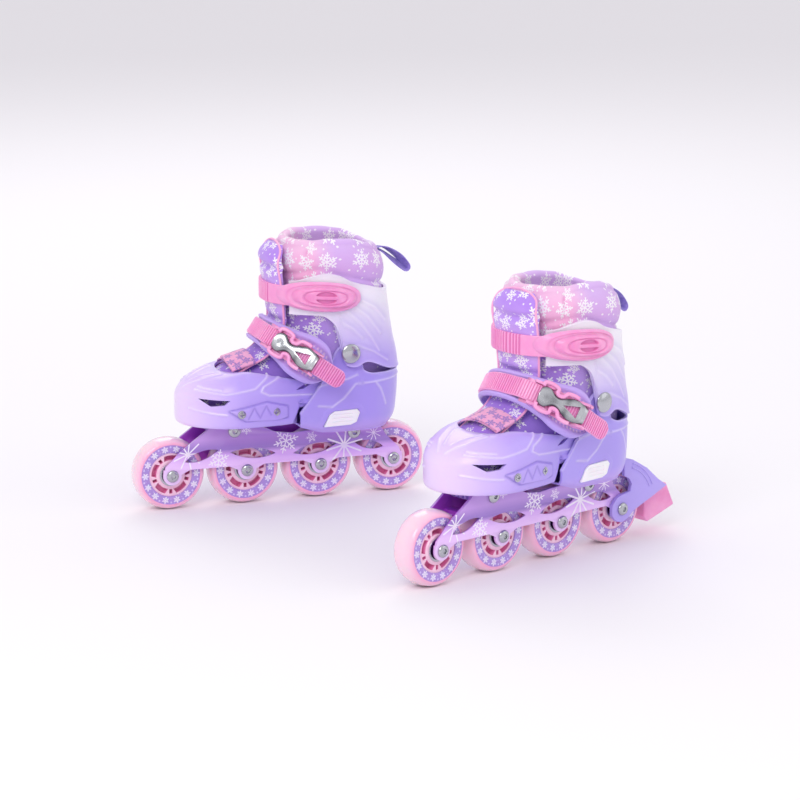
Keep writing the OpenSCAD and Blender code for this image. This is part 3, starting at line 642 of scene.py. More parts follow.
def urethane():
    """Cast pink urethane with a purple ring of snow crystals printed on each side."""
    made, tree, shader = material("cast_pink_urethane", Roughness=0.2, Coat_Weight=0.6,
                                  Coat_Roughness=0.08, Subsurface_Weight=0.6,
                                  Subsurface_Radius=(1.0, 0.45, 0.6), Subsurface_Scale=5 * MM)
    place = read(tree, "local")
    parts = split(tree, place)
    flat = side_view(tree, place)
    radius = vector_calc(tree, "LENGTH", flat).outputs["Value"]
    # The urethane turns paler towards the tread: a painted highlight round the tyre.
    share = add(tree, "ShaderNodeMapRange", {"Value": radius, "From Min": 20, "From Max": 35})
    body = ramp(tree, share, [(0, "#f6b4d8"), (0.62, "#f9a9cf"), (0.8, "#fcc3dc"), (1, "#fcd6e6")])
    # The print ends 5.7 mm inside the tread
    within = calc(tree, "LESS_THAN", radius, 29.3)
    width = calc(tree, "ABSOLUTE", parts.outputs[1])
    beside = calc(tree, "GREATER_THAN", width, 10.5)
    ring = calc(tree, "MULTIPLY", within, beside)
    printed = over(tree, body, ring, "#b193dd")
    snowy = over(tree, printed, ring_flakes(tree, flat, 25.4, 14, 0, 3.7), "#f1eaff")
    dotted = over(tree, snowy, ring_flakes(tree, flat, 27.4, 14, math.pi / 14, 1.2), "#e2d4fb")
    specks = calc(tree, "MULTIPLY", sparkles(tree, flat, 4.2, 0.1), ring)
    dotted = over(tree, dotted, specks, "#d9c8f7")
    plug(tree, dotted, shader)
    # Faint scuffs round the tread, a few tenths of a millimetre wide
    scuffs = clouds(tree, place, 0.9, 4.0)
    rough = add(tree, "ShaderNodeMapRange", {"Value": scuffs, "To Min": 0.14, "To Max": 0.3})
    plug(tree, rough, shader, "Roughness")
    return made


def hub_nylon():
    """Pale pink nylon whose pockets are painted magenta."""
    made, tree, shader = material("moulded_pale_pink_nylon", Roughness=0.3, Coat_Weight=0.3,
                                  Coat_Roughness=0.1)
    place = read(tree, "local")
    parts = split(tree, place)
    width = calc(tree, "ABSOLUTE", parts.outputs[1])
    radius = vector_calc(tree, "LENGTH", side_view(tree, place)).outputs["Value"]
    deep = calc(tree, "LESS_THAN", width, 10.2)
    outer = calc(tree, "GREATER_THAN", radius, 11.5)
    pocket = calc(tree, "MULTIPLY", deep, outer)
    cloud = clouds(tree, place, 0.2)
    body = ramp(tree, cloud, [(0.3, "#f7c3dd"), (0.7, "#fbd6e8")])
    painted = over(tree, body, pocket, "#ef8cc0")
    plug(tree, painted, shader)
    grain(tree, shader, place, 1.5, 0.02)
    return made


TYRE_URETHANE = urethane()
HUB_NYLON = hub_nylon()
BUTTON_WHITE = soft_plastic("moulded_white_acetal", "#f4f1f8", 0.35, light="#f7f5fa")

# %% [markdown]
# ## Metals
#
# Bolt heads, rivets and the big buckle lever are chromed steel, polished before plating,
# so only faint polishing lines are left. Bearings are ground steel with a dark shield.
# The frame is pressed aluminium with a pearl lacquer in bands of orchid, painted shade in a
# dark band under its ridge, and a print of snow crystals.

# %% Chrome and steel
def plated(name, colour, rough, line_mm=0.5):
    """Polished metal with faint polishing lines that change its roughness; its marks are painted dark
    grey as shade and dark reflections.
    """
    made, tree, shader = material(name, Metallic=1.0)
    place = read(tree, "local")
    marks = split(tree, read(tree, "flat"))
    # Where a piece is marked, the steel is painted dark grey: painted shade and dark reflections.
    steel = add(tree, "ShaderNodeMix", {0: marks.outputs[2], 6: linear(colour),
                                        7: linear("#5d5f66")}, data_type="RGBA")
    plug(tree, steel, shader)
    drawn = add(tree, "ShaderNodeMapping", {"Vector": place, "Scale": (1 / line_mm, 0.2, 0.2)})
    lines = clouds(tree, drawn, 1.0, 3.0)
    shine = add(tree, "ShaderNodeMapRange", {"Value": lines, "To Min": rough * 0.6,
                                             "To Max": rough * 1.6})
    plug(tree, shine, shader, "Roughness")
    return made


CHROME = plated("polished_chrome_plate", "#bcbec3", 0.16)
LEVER_STEEL = plated("satin_chrome_plate", "#c9cbd0", 0.22)
SPRING_STEEL = plated("bright_spring_steel", "#b9bbc0", 0.25)


def bearing_steel():
    """Ground steel races with a dark pressed shield between them."""
    made, tree, shader = material("ground_bearing_steel", Metallic=1.0, Roughness=0.22)
    radius = vector_calc(tree, "LENGTH", side_view(tree, read(tree, "local"))).outputs["Value"]
    share = add(tree, "ShaderNodeMapRange", {"Value": radius, "From Min": 4, "From Max": 11})
    bands = ramp(tree, share, [(0, "#c4c5c9"), (0.3, "#c4c5c9"), (0.34, "#3a3a42"),
                               (0.72, "#4a4a52"), (0.76, "#b9bac0"), (1, "#c9cad0")])
    plug(tree, bands, shader)
    turned = calc(tree, "MULTIPLY", radius, 24.0)
    rings = calc(tree, "SINE", turned)
    raised = add(tree, "ShaderNodeBump", {"Height": rings, "Distance": 0.008 * MM})
    plug(tree, raised, shader, "Normal")
    return made


BEARING_STEEL = bearing_steel()

# Prints on the frame: spot in x and z, radius, turn, arms and whether it has branches
FRAME_PRINTS = [((-97, 55), 15, 8, 9, False), ((-66, 47), 11, 10, 6, True),
                ((-38, 76), 6, 0, 6, True), ((2, 61), 13, 15, 6, True),
                ((62, 52), 19, 5, 10, False), ((28, 63), 6, 20, 6, True),
                ((92, 62), 8, 0, 9, False)]


def lacquered():
    """Pressed aluminium under a pearl lacquer in bands, with painted shade as the dark band under the
    ridge, printed with snow crystals.
    """
    made, tree, shader = material("orchid_pearl_lacquer_on_aluminium", Metallic=0.2,
                                  Roughness=0.28, Coat_Weight=0.8, Coat_Roughness=0.08)
    place = read(tree, "local")
    parts = split(tree, place)
    sway = calc(tree, "MULTIPLY_ADD", parts.outputs[0], 0.02, parts.outputs[2])
    share = add(tree, "ShaderNodeMapRange", {"Value": sway, "From Min": 26, "From Max": 86})
    # Tints from the foot of the plates up; the dark band near the middle, under the ridge, is painted
    # shade.
    bands = ramp(tree, share, [(0, "#f3d2ff"), (0.3, "#ecc4fd"), (0.42, "#dcaef6"),
                               (0.5, "#9c78cc"), (0.56, "#a680d2"), (0.68, "#c79be6"),
                               (1, "#bb8ddb")])
    width = calc(tree, "ABSOLUTE", parts.outputs[1])
    hidden = calc(tree, "LESS_THAN", width, 15.6)
    lined = over(tree, bands, hidden, "#b44ed6")
    outside = calc(tree, "GREATER_THAN", width, 16.5)
    flat = side_view(tree, place)
    colour = lined
    for centre, radius, turn, arms, branched in FRAME_PRINTS:
        shape = {} if branched else {"branches": ()}
        flake = decal(tree, flat, centre, radius, turn, arms=arms, thin=0.045, **shape)
        shown = calc(tree, "MULTIPLY", flake, outside)
        colour = over(tree, colour, shown, "#fbf4ff", 0.9)
    plug(tree, colour, shader)
    # Pearl flakes are about 0.05 mm; they are drawn at 0.6 mm so that they show
    grain(tree, shader, place, 1.6, 0.012, detail=3)
    return made


FRAME_LACQUER = lacquered()

# %% [markdown]
# ## Cloth
#
# Liner and tongue are polyester knit laminated to foam, printed in pink, lilac and white
# with snow crystals. The knit shows as rows of small loops, and its short fibres catch
# the light at grazing angles, which the sheen does. The straps over the toes and the pull
# loops are woven, so they show crossing threads instead.

# %% Printed knit
def knit_bump(tree, shader, cloth, loop_mm, depth_mm):
    """Rows of small loops: one wave along the rows and one across them."""
    waves = vector_calc(tree, "MULTIPLY", cloth, (math.tau / loop_mm,) * 3)
    swing = vector_calc(tree, "SINE", waves)
    parts = split(tree, swing)
    height = calc(tree, "MULTIPLY", parts.outputs[0], parts.outputs[1])
    fuzz = clouds(tree, cloth, 1.3, 3.0)
    both = calc(tree, "MULTIPLY_ADD", fuzz, 1.5, height)
    raised = add(tree, "ShaderNodeBump", {"Height": both, "Distance": depth_mm * MM})
    plug(tree, raised, shader, "Normal")


def printed_knit(name, stops, low, high, cell, snow=0.95, rear=0):
    """Printed polyester knit; its ground colour changes with height on the boot.

    rear is how far it turns lilac behind the ankle.
    """
    made, tree, shader = material(name, Roughness=0.75, Sheen_Weight=0.35, Sheen_Roughness=0.4)
    place, cloth = read(tree, "local"), read(tree, "flat")
    parts = split(tree, place)
    cloud = clouds(tree, place, 0.022, 2.0)
    wander = calc(tree, "MULTIPLY_ADD", cloud, 60.0, parts.outputs[2])
    share = add(tree, "ShaderNodeMapRange", {"Value": wander, "From Min": low, "From Max": high})
    ground = ramp(tree, share, stops)
    behind = add(tree, "ShaderNodeMapRange", {"Value": parts.outputs[0], "From Min": 18.0,
                                              "From Max": 46.0, "To Max": rear},
                 interpolation_type="SMOOTHSTEP")
    ground = over(tree, ground, behind, "#cfb0f4")
    flakes = over(tree, ground, scattered_flakes(tree, cloth, cell), "#fdfaff", snow)
    dots = over(tree, flakes, sparkles(tree, cloth, cell * 0.42, 0.1), "#fffaff", 0.8)
    marks = split(tree, cloth)
    stitched = over(tree, dots, marks.outputs[2], "#fbe4fa")
    plug(tree, stitched, shader)
    # Real loops are about 0.8 mm apart; they are drawn at 1.6 mm so that they show
    knit_bump(tree, shader, cloth, 1.6, 0.12)
    return made


LINER_KNIT = printed_knit("printed_polyester_knit",
                          [(0, "#9c78de"), (0.3, "#a57fe2"), (0.5, "#c99cf2"), (0.68, "#e6b3ee"),
                           (0.82, "#fbb4de"), (1, "#f6c6ea")], 150, 290, 23, rear=0.7)
TONGUE_KNIT = printed_knit("printed_tongue_knit",
                           [(0, "#a779ea"), (0.4, "#b888f0"), (0.62, "#d9b6f6"),
                            (0.8, "#c9a2f2"), (1, "#b98cf0")], 150, 280, 20)
PIPING = printed_knit("pink_piping_tape", [(0, "#f79fd2"), (1, "#fbb3dc")], 100, 300, 200, 0)
PAD_KNIT = printed_knit("coated_lavender_foam", [(0, "#b7a3f2"), (0.5, "#c2a9f6"),
                                                 (1, "#d0b4fa")], 110, 230, 300, 0)
FOOTBED_KNIT = printed_knit("purple_footbed_cloth", [(0, "#8c6fc4"), (1, "#9a7cd0")],
                            90, 200, 300, 0)


# %% Woven tapes
def woven(name, colour, second, thread_mm=1.0, print_cell=0):
    """Woven tape: two sets of threads that cross, with an optional small print."""
    made, tree, shader = material(name, Roughness=0.6, Sheen_Weight=0.3, Sheen_Roughness=0.4)
    cloth = read(tree, "flat")
    cloud = clouds(tree, cloth, 0.15, 3.0)
    colours = ramp(tree, cloud, [(0.3, colour), (0.7, second)])
    if print_cell:
        flake = scattered_flakes(tree, cloth, print_cell, 0.4, 0.5, 0.08)
        colours = over(tree, colours, flake, "#8d6fc6", 0.85)
    plug(tree, colours, shader)
    knit_bump(tree, shader, cloth, thread_mm, 0.15)
    return made


STRAP_PRINT = woven("printed_pink_webbing", "#f7a3d4", "#fab4dd", 1.1, print_cell=11)
RIBBON_WEAVE = woven("woven_purple_ribbon", "#7f68cc", "#a592e4", 0.9)
print("materials:", len(bpy.data.materials))

# %% Parts that keep their CAD shape get their finish here
def dress(node, finish):
    """Give a CAD node that is shown as it is its finish and its bench places."""
    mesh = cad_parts[node].data
    side = "right" if node.startswith("right") else "left"
    local = mesh.attributes.new("local", "FLOAT_VECTOR", "POINT")
    local.data.foreach_set("vector", [c for v in mesh.vertices for c in BENCH[side] @ v.co])
    mesh.materials.clear()
    mesh.materials.append(finish)


def show_copy(node, side, name, body, slot, finish, bevel, pattern=same_place, **how):
    """Show a CAD node through a copy whose edges are rounded as tools round them."""
    mesh = cad_copy(node, side, bevel, **how)
    return put(mesh, name, side, body, finish, replaces=(node,), pattern=pattern)


NEAR_SKATE = {side: PLACE[side].translation for side in SIDES}


def on_own_skate(spot):
    """A bench place on the first skate's bench, moved to the bench of the nearest skate."""
    row = PLACE["left"] @ spot
    side = min(SIDES, key=lambda s: (row - NEAR_SKATE[s]).length)
    return BENCH[side] @ row


def about_own_axle(spot):
    return about_axle(on_own_skate(spot))


def joined(*meshes):
    """Several bench meshes as one."""
    bm = bmesh.new()
    for mesh in meshes:
        bm.from_mesh(mesh)
    return bench_mesh(bm)


# %% [markdown]
# ## Wheels
#
# A tyre is cast round its hub, so its shape is one profile turned about the axle. `spin`
# turns the profile; `use_merge` joins the last step to the first, so the tyre is closed.
# The profile is flat where the ring is printed and round where it rolls.

# %% Tyres and hubs
TYRE_HALF = (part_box("left_tyre_1")[1].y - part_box("left_tyre_1")[0].y) / 2 / MM
HUB_R = (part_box("left_hub_1")[1].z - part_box("left_hub_1")[0].z) / 2 / MM
PRINT_R = 29.5


def tyre_profile():
    """(radius, width) once round the tyre's section."""
    tread = [(PRINT_R + (AXLE_Z - PRINT_R) * math.cos(math.radians(a)) ** 0.7,
              TYRE_HALF * math.sin(math.radians(a))) for a in range(-86, 87, 6)]
    side = [(HUB_R, 11.3), (HUB_R + 0.9, 11.7), (25, 11.8), (PRINT_R - 0.5, 11.8)]
    return ([(r, -w) for r, w in side] + tread + [(r, w) for r, w in reversed(side)])


tyre_bm = bmesh.new()
rim = [tyre_bm.verts.new((r, w, 0)) for r, w in tyre_profile()]
edges = [tyre_bm.edges.new((a, b)) for a, b in zip(rim, rim[1:] + rim[:1])]
bmesh.ops.spin(tyre_bm, geom=rim + edges, cent=(0, 0, 0), axis=(0, 1, 0), angle=math.tau,
               steps=120, use_merge=True)
bmesh.ops.recalc_face_normals(tyre_bm, faces=tyre_bm.faces)
tyre_mesh = unmarked(bench_mesh(tyre_bm))
hub_mesh = cad_copy("left_hub_1", "left", 0.35)
for side in SIDES:
    for i, axle_x in enumerate(AXLES, start=1):
        body = f"{side}_wheel_{i}"
        tyre, hub = tyre_mesh.copy(), hub_mesh.copy()
        tyre.transform(Matrix.Translation((axle_x, 0, AXLE_Z)))
        hub.transform(Matrix.Translation((axle_x - AXLES[0], 0, 0)))
        put(tyre, f"{side}_tyre_{i}_cast", side, body, TYRE_URETHANE,
            replaces=(f"{side}_tyre_{i}",), pattern=about_axle, sharp=50)
        put(hub, f"{side}_hub_{i}_moulded", side, body, HUB_NYLON,
            replaces=(f"{side}_hub_{i}",), pattern=about_axle)
print("tyre:", len(tyre_mesh.polygons), "faces")

# %% [markdown]
# ## Frame, bolts and other hard parts
#
# These were drawn exactly in CAD, but a real pressed or turned edge is never sharp: it
# is deburred or rounded, and that thin bright line is what makes it look real. A copy of
# each node is merged, its flat faces are made whole, and its sharp edges get a small
# bevel.

# %% Rounded copies of the exact parts
for side in SIDES:
    show_copy(f"{side}_frame", side, f"{side}_frame_pressed", "base", "orchid_aluminium",
              FRAME_LACQUER, 0.6)
    show_copy(f"{side}_size_button", side, f"{side}_size_button_moulded",
              f"{side}_button_body", "white_button", BUTTON_WHITE, 1.0)
    show_copy(f"{side}_toe_screws", side, f"{side}_toe_screws_plated", f"{side}_toe",
              "chrome_steel", CHROME, 0.15)
    dress(f"{side}_button_spring", SPRING_STEEL)
for node, name, finish, slot_name, bevel, pattern in (
        ("axle_bolts", "axle_bolts_plated", CHROME, "chrome_steel", 0.3, on_own_skate),
        ("mount_bolts", "mount_bolts_plated", CHROME, "chrome_steel", 0.3, on_own_skate),
        ("ankle_rivets", "ankle_rivets_plated", CHROME, "chrome_steel", 0.5, on_own_skate),
        ("wheel_bearings", "wheel_bearings_ground", BEARING_STEEL, "bearing_steel", 0.3,
         about_own_axle),
        ("footbeds", "footbeds_covered", FOOTBED_KNIT, "printed_fabric", 0.8, on_own_skate)):
    show_copy(node, "left", name, "base", slot_name, finish, bevel, pattern=pattern)
dress("bearing_spacers", SPRING_STEEL)

# %% [markdown]
# ## Toe shell
#
# The toe shell is one moulding: a flange tucked under the foot, a wall, and a shoulder
# that rounds in to the rim of the opening. Its section is swept from one rear end round
# the toe to the other, and raised lines and a screw plate push it out a little.

# %% Toe shell outline
TOE_X, TOE_LENGTH, BALL_HALF = -45, 58, 51
TOE_END, TOE_ROUND = 30, 150
TOE_SIDE = TOE_END - TOE_X
TOE_HALF = [(-45, 51), (-20, 49.5), (4, 45.5), (10, 44), (30, 43.8)]
RIM_HALF = [(-45, 30), (-32, 37), (-18, 41), (6, 42.5), (30, 42.6)]
RIM_HIGH = [(-62, 133), (-45, 135), (-32, 134), (-18, 131), (6, 126), (30, 121)]
TOE_LOW = [(-4, 84), (1, 85), (8, 99)]
TOE_FLANGE = [(-6, 12), (6, 3.4)]
SOLE_Z = 84


def toe_path(u):
    """Where the section stands: side sign, x on a side, or the turn round the toe."""
    s = u * (2 * TOE_SIDE + TOE_ROUND)
    if s < TOE_SIDE:
        return 1, TOE_END - s, 0
    if s > TOE_SIDE + TOE_ROUND:
        return -1, TOE_X + s - TOE_SIDE - TOE_ROUND, math.pi
    return 0, TOE_X, math.pi * (s - TOE_SIDE) / TOE_ROUND


def toe_edge(where, inset):
    sign, x, turn = where
    if sign:
        return Vector((x, sign * (curve(x, TOE_HALF) - inset), 0))
    return Vector((TOE_X - (TOE_LENGTH - inset) * math.sin(turn),
                   (BALL_HALF - inset) * math.cos(turn), 0))


def toe_rim(where):
    sign, x, turn = where
    if sign:
        return Vector((x, sign * curve(x, RIM_HALF), curve(x, RIM_HIGH)))
    return Vector((TOE_X - 17 * math.sin(turn), 30 * math.cos(turn), 135 - 2 * math.sin(turn)))


# %% Toe shell
SCREW_PLATE = [(-64, 101.5), (-27, 108.5), (-5, 102.5), (-5, 92), (-15, 89.5), (-48, 91)]
PLATE_MARK = [(-46, 93.5), (-40, 104), (-34, 94), (-28, 105), (-23, 96)]
TOE_LINES = [[(-104, 121), (-84, 119.5), (-66, 117.5), (-38, 121.5), (-22, 133)],
             [(-3, 134), (-29, 123), (-32, 118.5), (-24, 114.5), (27, 110.5)],
             [(-95, 124), (-84, 122), (-70, 121)], [(-100, 103), (-78, 99), (-66, 98)]]
TOE_TOP_LINES = [[(-97, 5), (-84, 17), (-64, 25)], [(-90, 4), (-74, 12), (-64, 17)]]
VENT = [(-90, 113), (-63, 112), (-68, 107.5), (-80, 106)]
REAR_SLOT = [(4, 117), (12, 121.5), (21, 122.5), (12, 117.5)]


# Where the flange, the lower corner and the wall end, as shares of the section
FLANGE_END, CORNER_END, WALL_END = 0.08, 0.18, 0.45


def toe_place(u, v):
    where = toe_path(u)
    base, rim = toe_edge(where, 0), toe_rim(where)
    low = curve(base.x, TOE_LOW)
    out = Vector((-math.sin(where[2]), 0, 0)) if not where[0] else Vector((0, 0, 0))
    out.y = math.cos(where[2])
    shoulder = 0
    if v < FLANGE_END:
        spot = toe_edge(where, mix(curve(base.x, TOE_FLANGE), 2, v / FLANGE_END))
        spot.z = low
        return spot, (0, 0, 0)
    if v < CORNER_END:
        corner = (v - FLANGE_END) / 0.1 * math.pi / 2
        spot = toe_edge(where, 2 * (1 - math.sin(corner)))
        spot.z = low + 6 * (1 - math.cos(corner))
        return spot, (0, spot.z, 0)
    half_up = (SOLE_Z + rim.z) / 2
    if v < WALL_END:
        spot = base
        spot.z = mix(low + 6, half_up, (v - CORNER_END) / 0.27)
    else:
        shoulder = (v - WALL_END) / 0.55 * math.pi / 2
        spot = base.lerp(rim, 1 - math.cos(shoulder) ** 0.95)
        spot.z = half_up + (rim.z - half_up) * math.sin(shoulder) ** 1.2
    flat = (spot.x, spot.z)
    mark = max(bump(gap(flat, line), 1.0) for line in TOE_LINES) if abs(spot.y) > 22 else 0
    push = 0.9 * mark + 1.3 * step(inside(flat, SCREW_PLATE) + 0.6, 1.6)
    groove = bump(gap(flat, PLATE_MARK), 0.9) + bump(inside(flat, SCREW_PLATE) + 0.4, 1.0)
    groove = min(1, groove) if abs(spot.y) > 30 else 0
    push -= 0.6 * groove
    if spot.z > 118:
        top = max(bump(gap((spot.x, abs(spot.y)), line), 1.1) for line in TOE_TOP_LINES)
        mark = max(mark, top)
        push += 0.9 * top
    lip = bump((1 - v) * 30, 2.2)
    push += 0.7 * lip
    spot = spot + (out * math.cos(shoulder) + Vector((0, 0, math.sin(shoulder)))) * push
    # The mark paints raised lines and the rim lighter as a highlight, and the grooves darker as
    # shade.
    return spot, (u * 300, spot.z, min(1, mark + 0.5 * lip) - groove)


toe_bm = sheet(300, 84, toe_place)
toe_mesh = finished(toe_bm, wall=2.6, bevel=0.6, cuts=(slab(VENT, -70, 70), slab(REAR_SLOT, -70, 70)))
SOLE_FRONT, SOLE_REAR, SOLE_TOP = TOE_X - TOE_LENGTH + 4, -1, 89.6
SOLE_INSET = 4


def sole_place(u, v):
    """The sheet under the foot that joins the toe shell's two sides."""
    x = mix(SOLE_FRONT, SOLE_REAR, u)
    if x < TOE_X:
        turn = math.asin(min(1, max(0, (TOE_X - x) / (TOE_LENGTH - 3))))
        half = toe_edge((0, 0, turn), SOLE_INSET).y
    else:
        half = curve(x, TOE_HALF) - SOLE_INSET
    return Vector((x, (2 * v - 1) * half, SOLE_TOP)), (0, 0, 0)


sole_bm = sheet(40, 30, sole_place)
toe_mesh = joined(toe_mesh, finished(sole_bm, wall=1.8, bevel=0.3))
on_both(toe_mesh, "toe_shell_moulded", "toe_shell", "toe", TOE_PLASTIC, sharp=45)
print("toe shell:", len(toe_mesh.polygons), "faces")

# %% [markdown]
# ## Heel shell
#
# The heel shell is a cup with an arched front edge and two ears that carry the cuff. Its
# lower and upper edges are curves over x, so the ears and the arch come from the same
# sheet. The sole plate and the lugs that sit between the frame's plates are extruded.

# %% Heel shell
HEEL_X, HEEL_FRONT = 76, 8
HEEL_HALF = [(72, 42.5), (80, 46.3), (90, 47.5), (127, 47), (133, 45.4), (165, 45.4)]
HEEL_BACK = [(72, 33), (80, 39), (90, 41.5), (115, 43.6), (130, 43)]
HEEL_LOW = [(8, 80.5), (20, 76.5), (34, 72.6), (120, 72.6)]
HEEL_HIGH = [(8, 95), (28, 121), (36, 134), (45, 151), (52, 158), (58, 160), (65, 157),
             (69, 147), (73, 132), (97, 127.5)]
HEEL_LINES = [[(26, 119.5), (56, 124.5), (66, 128)], [(52, 106), (64, 119), (118, 121)],
              [(84, 120), (90, 112), (96, 96)], [(26, 100), (40, 98), (52, 106)]]
BUTTON = [(31.5, 79), (37, 90.5), (42, 93.5), (65, 94.2), (67.5, 91), (64, 82), (58, 79.5)]
HEEL_SIDE = HEEL_X - HEEL_FRONT
HEEL_ROUND = 140


def heel_place(u, v):
    s = u * (2 * HEEL_SIDE + HEEL_ROUND)
    if s < HEEL_SIDE or s > HEEL_SIDE + HEEL_ROUND:
        sign = -1 if s < HEEL_SIDE else 1
        x = HEEL_FRONT + (s if sign < 0 else 2 * HEEL_SIDE + HEEL_ROUND - s)
        turn = sign * math.pi / 2
        x_edge = x
    else:
        turn = math.pi * ((s - HEEL_SIDE) / HEEL_ROUND - 0.5)
        x = HEEL_X
        x_edge = HEEL_X + 42 * math.cos(turn)
    low, high = curve(x_edge, HEEL_LOW), curve(x_edge, HEEL_HIGH)
    z = mix(low, high, v)
    half = curve(z, HEEL_HALF) - 1.2 * min(1, max(0, (x - 20) / 60))
    out = Vector((math.cos(turn), math.sin(turn), 0))
    spot = Vector((x + curve(z, HEEL_BACK) * math.cos(turn), half * math.sin(turn), z))
    flat = (x_edge, z)
    mark = max(bump(gap(flat, line), 1.0) for line in HEEL_LINES)
    edge = bump(min(high - z, 30), 2.4) if x_edge < 40 else bump(high - z, 1.6)
    round_button = step(4 - abs(inside(flat, BUTTON) + 2.5), 2.5)
    push = 0.8 * mark + 0.5 * edge + 0.5 * round_button - 1.2 * bump(z - low, 2)
    # The mark paints raised lines and the top edge lighter as a highlight.
    return spot + out * push, (s, z, min(1, mark + 0.6 * edge))


def scaled(outline, share):
    """An outline grown about its middle."""
    mx, mz = (sum(c) / len(outline) for c in zip(*outline))
    return [(mx + (x - mx) * share, mz + (z - mz) * share) for x, z in outline]


heel_bm = sheet(260, 84, heel_place)
heel_wall = finished(heel_bm, wall=3, bevel=0.7, cuts=(slab(scaled(BUTTON, 1.04), -60, -38),))


def heel_bottom(u, v):
    x = mix(HEEL_FRONT + 1, HEEL_X + 30, u)
    z = curve(x, HEEL_LOW) + 1.2
    half = curve(z, HEEL_HALF) - 2.5
    if x > HEEL_X:
        half *= math.sqrt(max(0.02, 1 - ((x - HEEL_X) / 33) ** 2))
    return Vector((x, (2 * v - 1) * half, z)), (0, 0, 0)


LUG_HALF = 14.8
FRONT_LUG = [(-66, 84.5), (-66, 71.8), (-30, 71.8), (-24, 76), (-20, 84.5)]
LUG_RIB = [(-76, 84.5), (-74, 74), (-70, 71.8), (-64, 71.8), (-64, 84.5)]
REAR_LUG = [(62, 74), (63.6, 64.5), (67, 57.5), (76, 57.5), (79.6, 64.5), (82, 74)]
SOLE_PLATE = [(-70, 84), (-26, 84), (10, 80), (10, 87.4), (-70, 87.4)]
base_parts = [finished(sheet(50, 24, heel_bottom), wall=2, bevel=0.4)]
base_parts += [finished(slab(outline, -half, half), bevel=0.8) for outline, half in (
    (FRONT_LUG, LUG_HALF), (REAR_LUG, LUG_HALF), (SOLE_PLATE, 30))]
for rib_y in (-12, -6, 0, 6, 12):
    base_parts.append(finished(slab(LUG_RIB, rib_y - 1.3, rib_y + 1.3), bevel=0.4))
heel_mesh = joined(heel_wall, *base_parts)
on_both(heel_mesh, "heel_shell_moulded", "heel_shell", "base", HEEL_PLASTIC,
        sharp=45)
print("heel shell:", len(heel_mesh.polygons), "faces")

# %% [markdown]
# ## Cuff
#
# The cuff is a thinner sheet that wraps the ankle and is open in front. Its lower edge
# dips to the pivots and leaves a window over the liner on each side; a leaf-shaped
# window is cut in the back.

# %% Cuff
CUFF_FRONT, CUFF_HALF = -6, 49.1
CUFF_BACK = [(128, 119.4), (145, 117), (160, 113.6), (192, 108.6), (215, 106), (230, 105)]
CUFF_LOW = [(-6, 189), (30, 188.5), (38, 184), (44, 177), (47, 166), (50, 142), (54, 137),
            (62, 136.5), (69, 140), (76, 139.5), (97, 130.5), (130, 130)]
CUFF_HIGH = [(-6, 221), (7, 222), (20, 226), (36, 229), (51, 226), (63, 220), (84, 214),
             (106, 208), (130, 208)]
CUFF_LINES = [[(54, 191), (68, 179), (80, 163), (88, 150)], [(60, 196), (76, 184), (90, 166)],
              [(48, 158), (66, 157), (82, 150), (98, 139)], [(70, 200), (84, 192), (96, 178)],
              [(50, 180), (60, 174), (70, 164)]]
CUFF_OPEN = 34


def oval(angle, front, back, half, exponent=0.8):
    """A point of the boot's oval at an angle: 0 is its front and 90 its buckle side."""
    turn = math.radians(angle)
    return Vector(((front + back) / 2 - (back - front) / 2 * power(math.cos(turn), exponent),
                   -half * power(math.sin(turn), exponent), 0))


def cuff_place(u, v):
    angle = CUFF_OPEN + (360 - 2 * CUFF_OPEN) * u
    nominal = oval(angle, CUFF_FRONT, 112, CUFF_HALF).x
    low, high = curve(nominal, CUFF_LOW), curve(nominal, CUFF_HIGH)
    z = mix(low, high, v)
    spot = oval(angle, CUFF_FRONT, curve(z, CUFF_BACK), CUFF_HALF)
    ahead = oval(angle + 0.5, CUFF_FRONT, curve(z, CUFF_BACK), CUFF_HALF)
    run = (ahead - spot).normalized()
    out = Vector((run.y, -run.x, 0))
    spot.z = z
    mark = max(bump(gap((spot.x, z), line), 0.9) for line in CUFF_LINES)
    wave = max(bump(gap((spot.x, z - 3), line), 4) for line in CUFF_LINES)
    lip = max(bump(high - z, 1.8), bump(z - low, 1.8))
    # The mark paints raised lines and both edges lighter as a highlight, and the swell under each
    # line darker as shade.
    return (spot + out * (0.5 * mark + 1.0 * wave + 0.5 * lip),
            (u * 300, z, min(1, mark + 0.4 * lip) - 0.25 * wave))


def leaf(length, width, steps=16):
    """A leaf between two arcs, standing on its end: (across, up) round it."""
    radius = (length ** 2 + width ** 2) / 4 / width
    ups = [length / 2 * math.sin(math.pi / 2 * (2 * i / steps - 1)) for i in range(steps + 1)]
    half = [math.sqrt(radius ** 2 - up ** 2) - radius + width / 2 for up in ups]
    return list(zip(half, ups)) + [(-h, up) for h, up in reversed(list(zip(half, ups))[1:-1])]


window_tool = slab(leaf(70, 44), -50, 0)
bmesh.ops.rotate(window_tool, verts=window_tool.verts, matrix=Matrix.Rotation(math.pi / 2, 3, "Z"))
bmesh.ops.translate(window_tool, verts=window_tool.verts, vec=(80, 0, 170.5))
cuff_mesh = finished(sheet(300, 84, cuff_place), wall=3, bevel=0.7, cuts=(window_tool,))
on_both(cuff_mesh, "cuff_moulded", "cuff", "cuff_body", CUFF_PLASTIC, sharp=45)
print("cuff:", len(cuff_mesh.polygons), "faces")

# %% [markdown]
# ## Liner
#
# The liner is a soft inner boot: knit over foam, thick and rolled at the collar. It is
# one closed sheet that runs up its outside, over the roll and down inside. Panels swell
# between their seams, and the seams pull the cloth in.

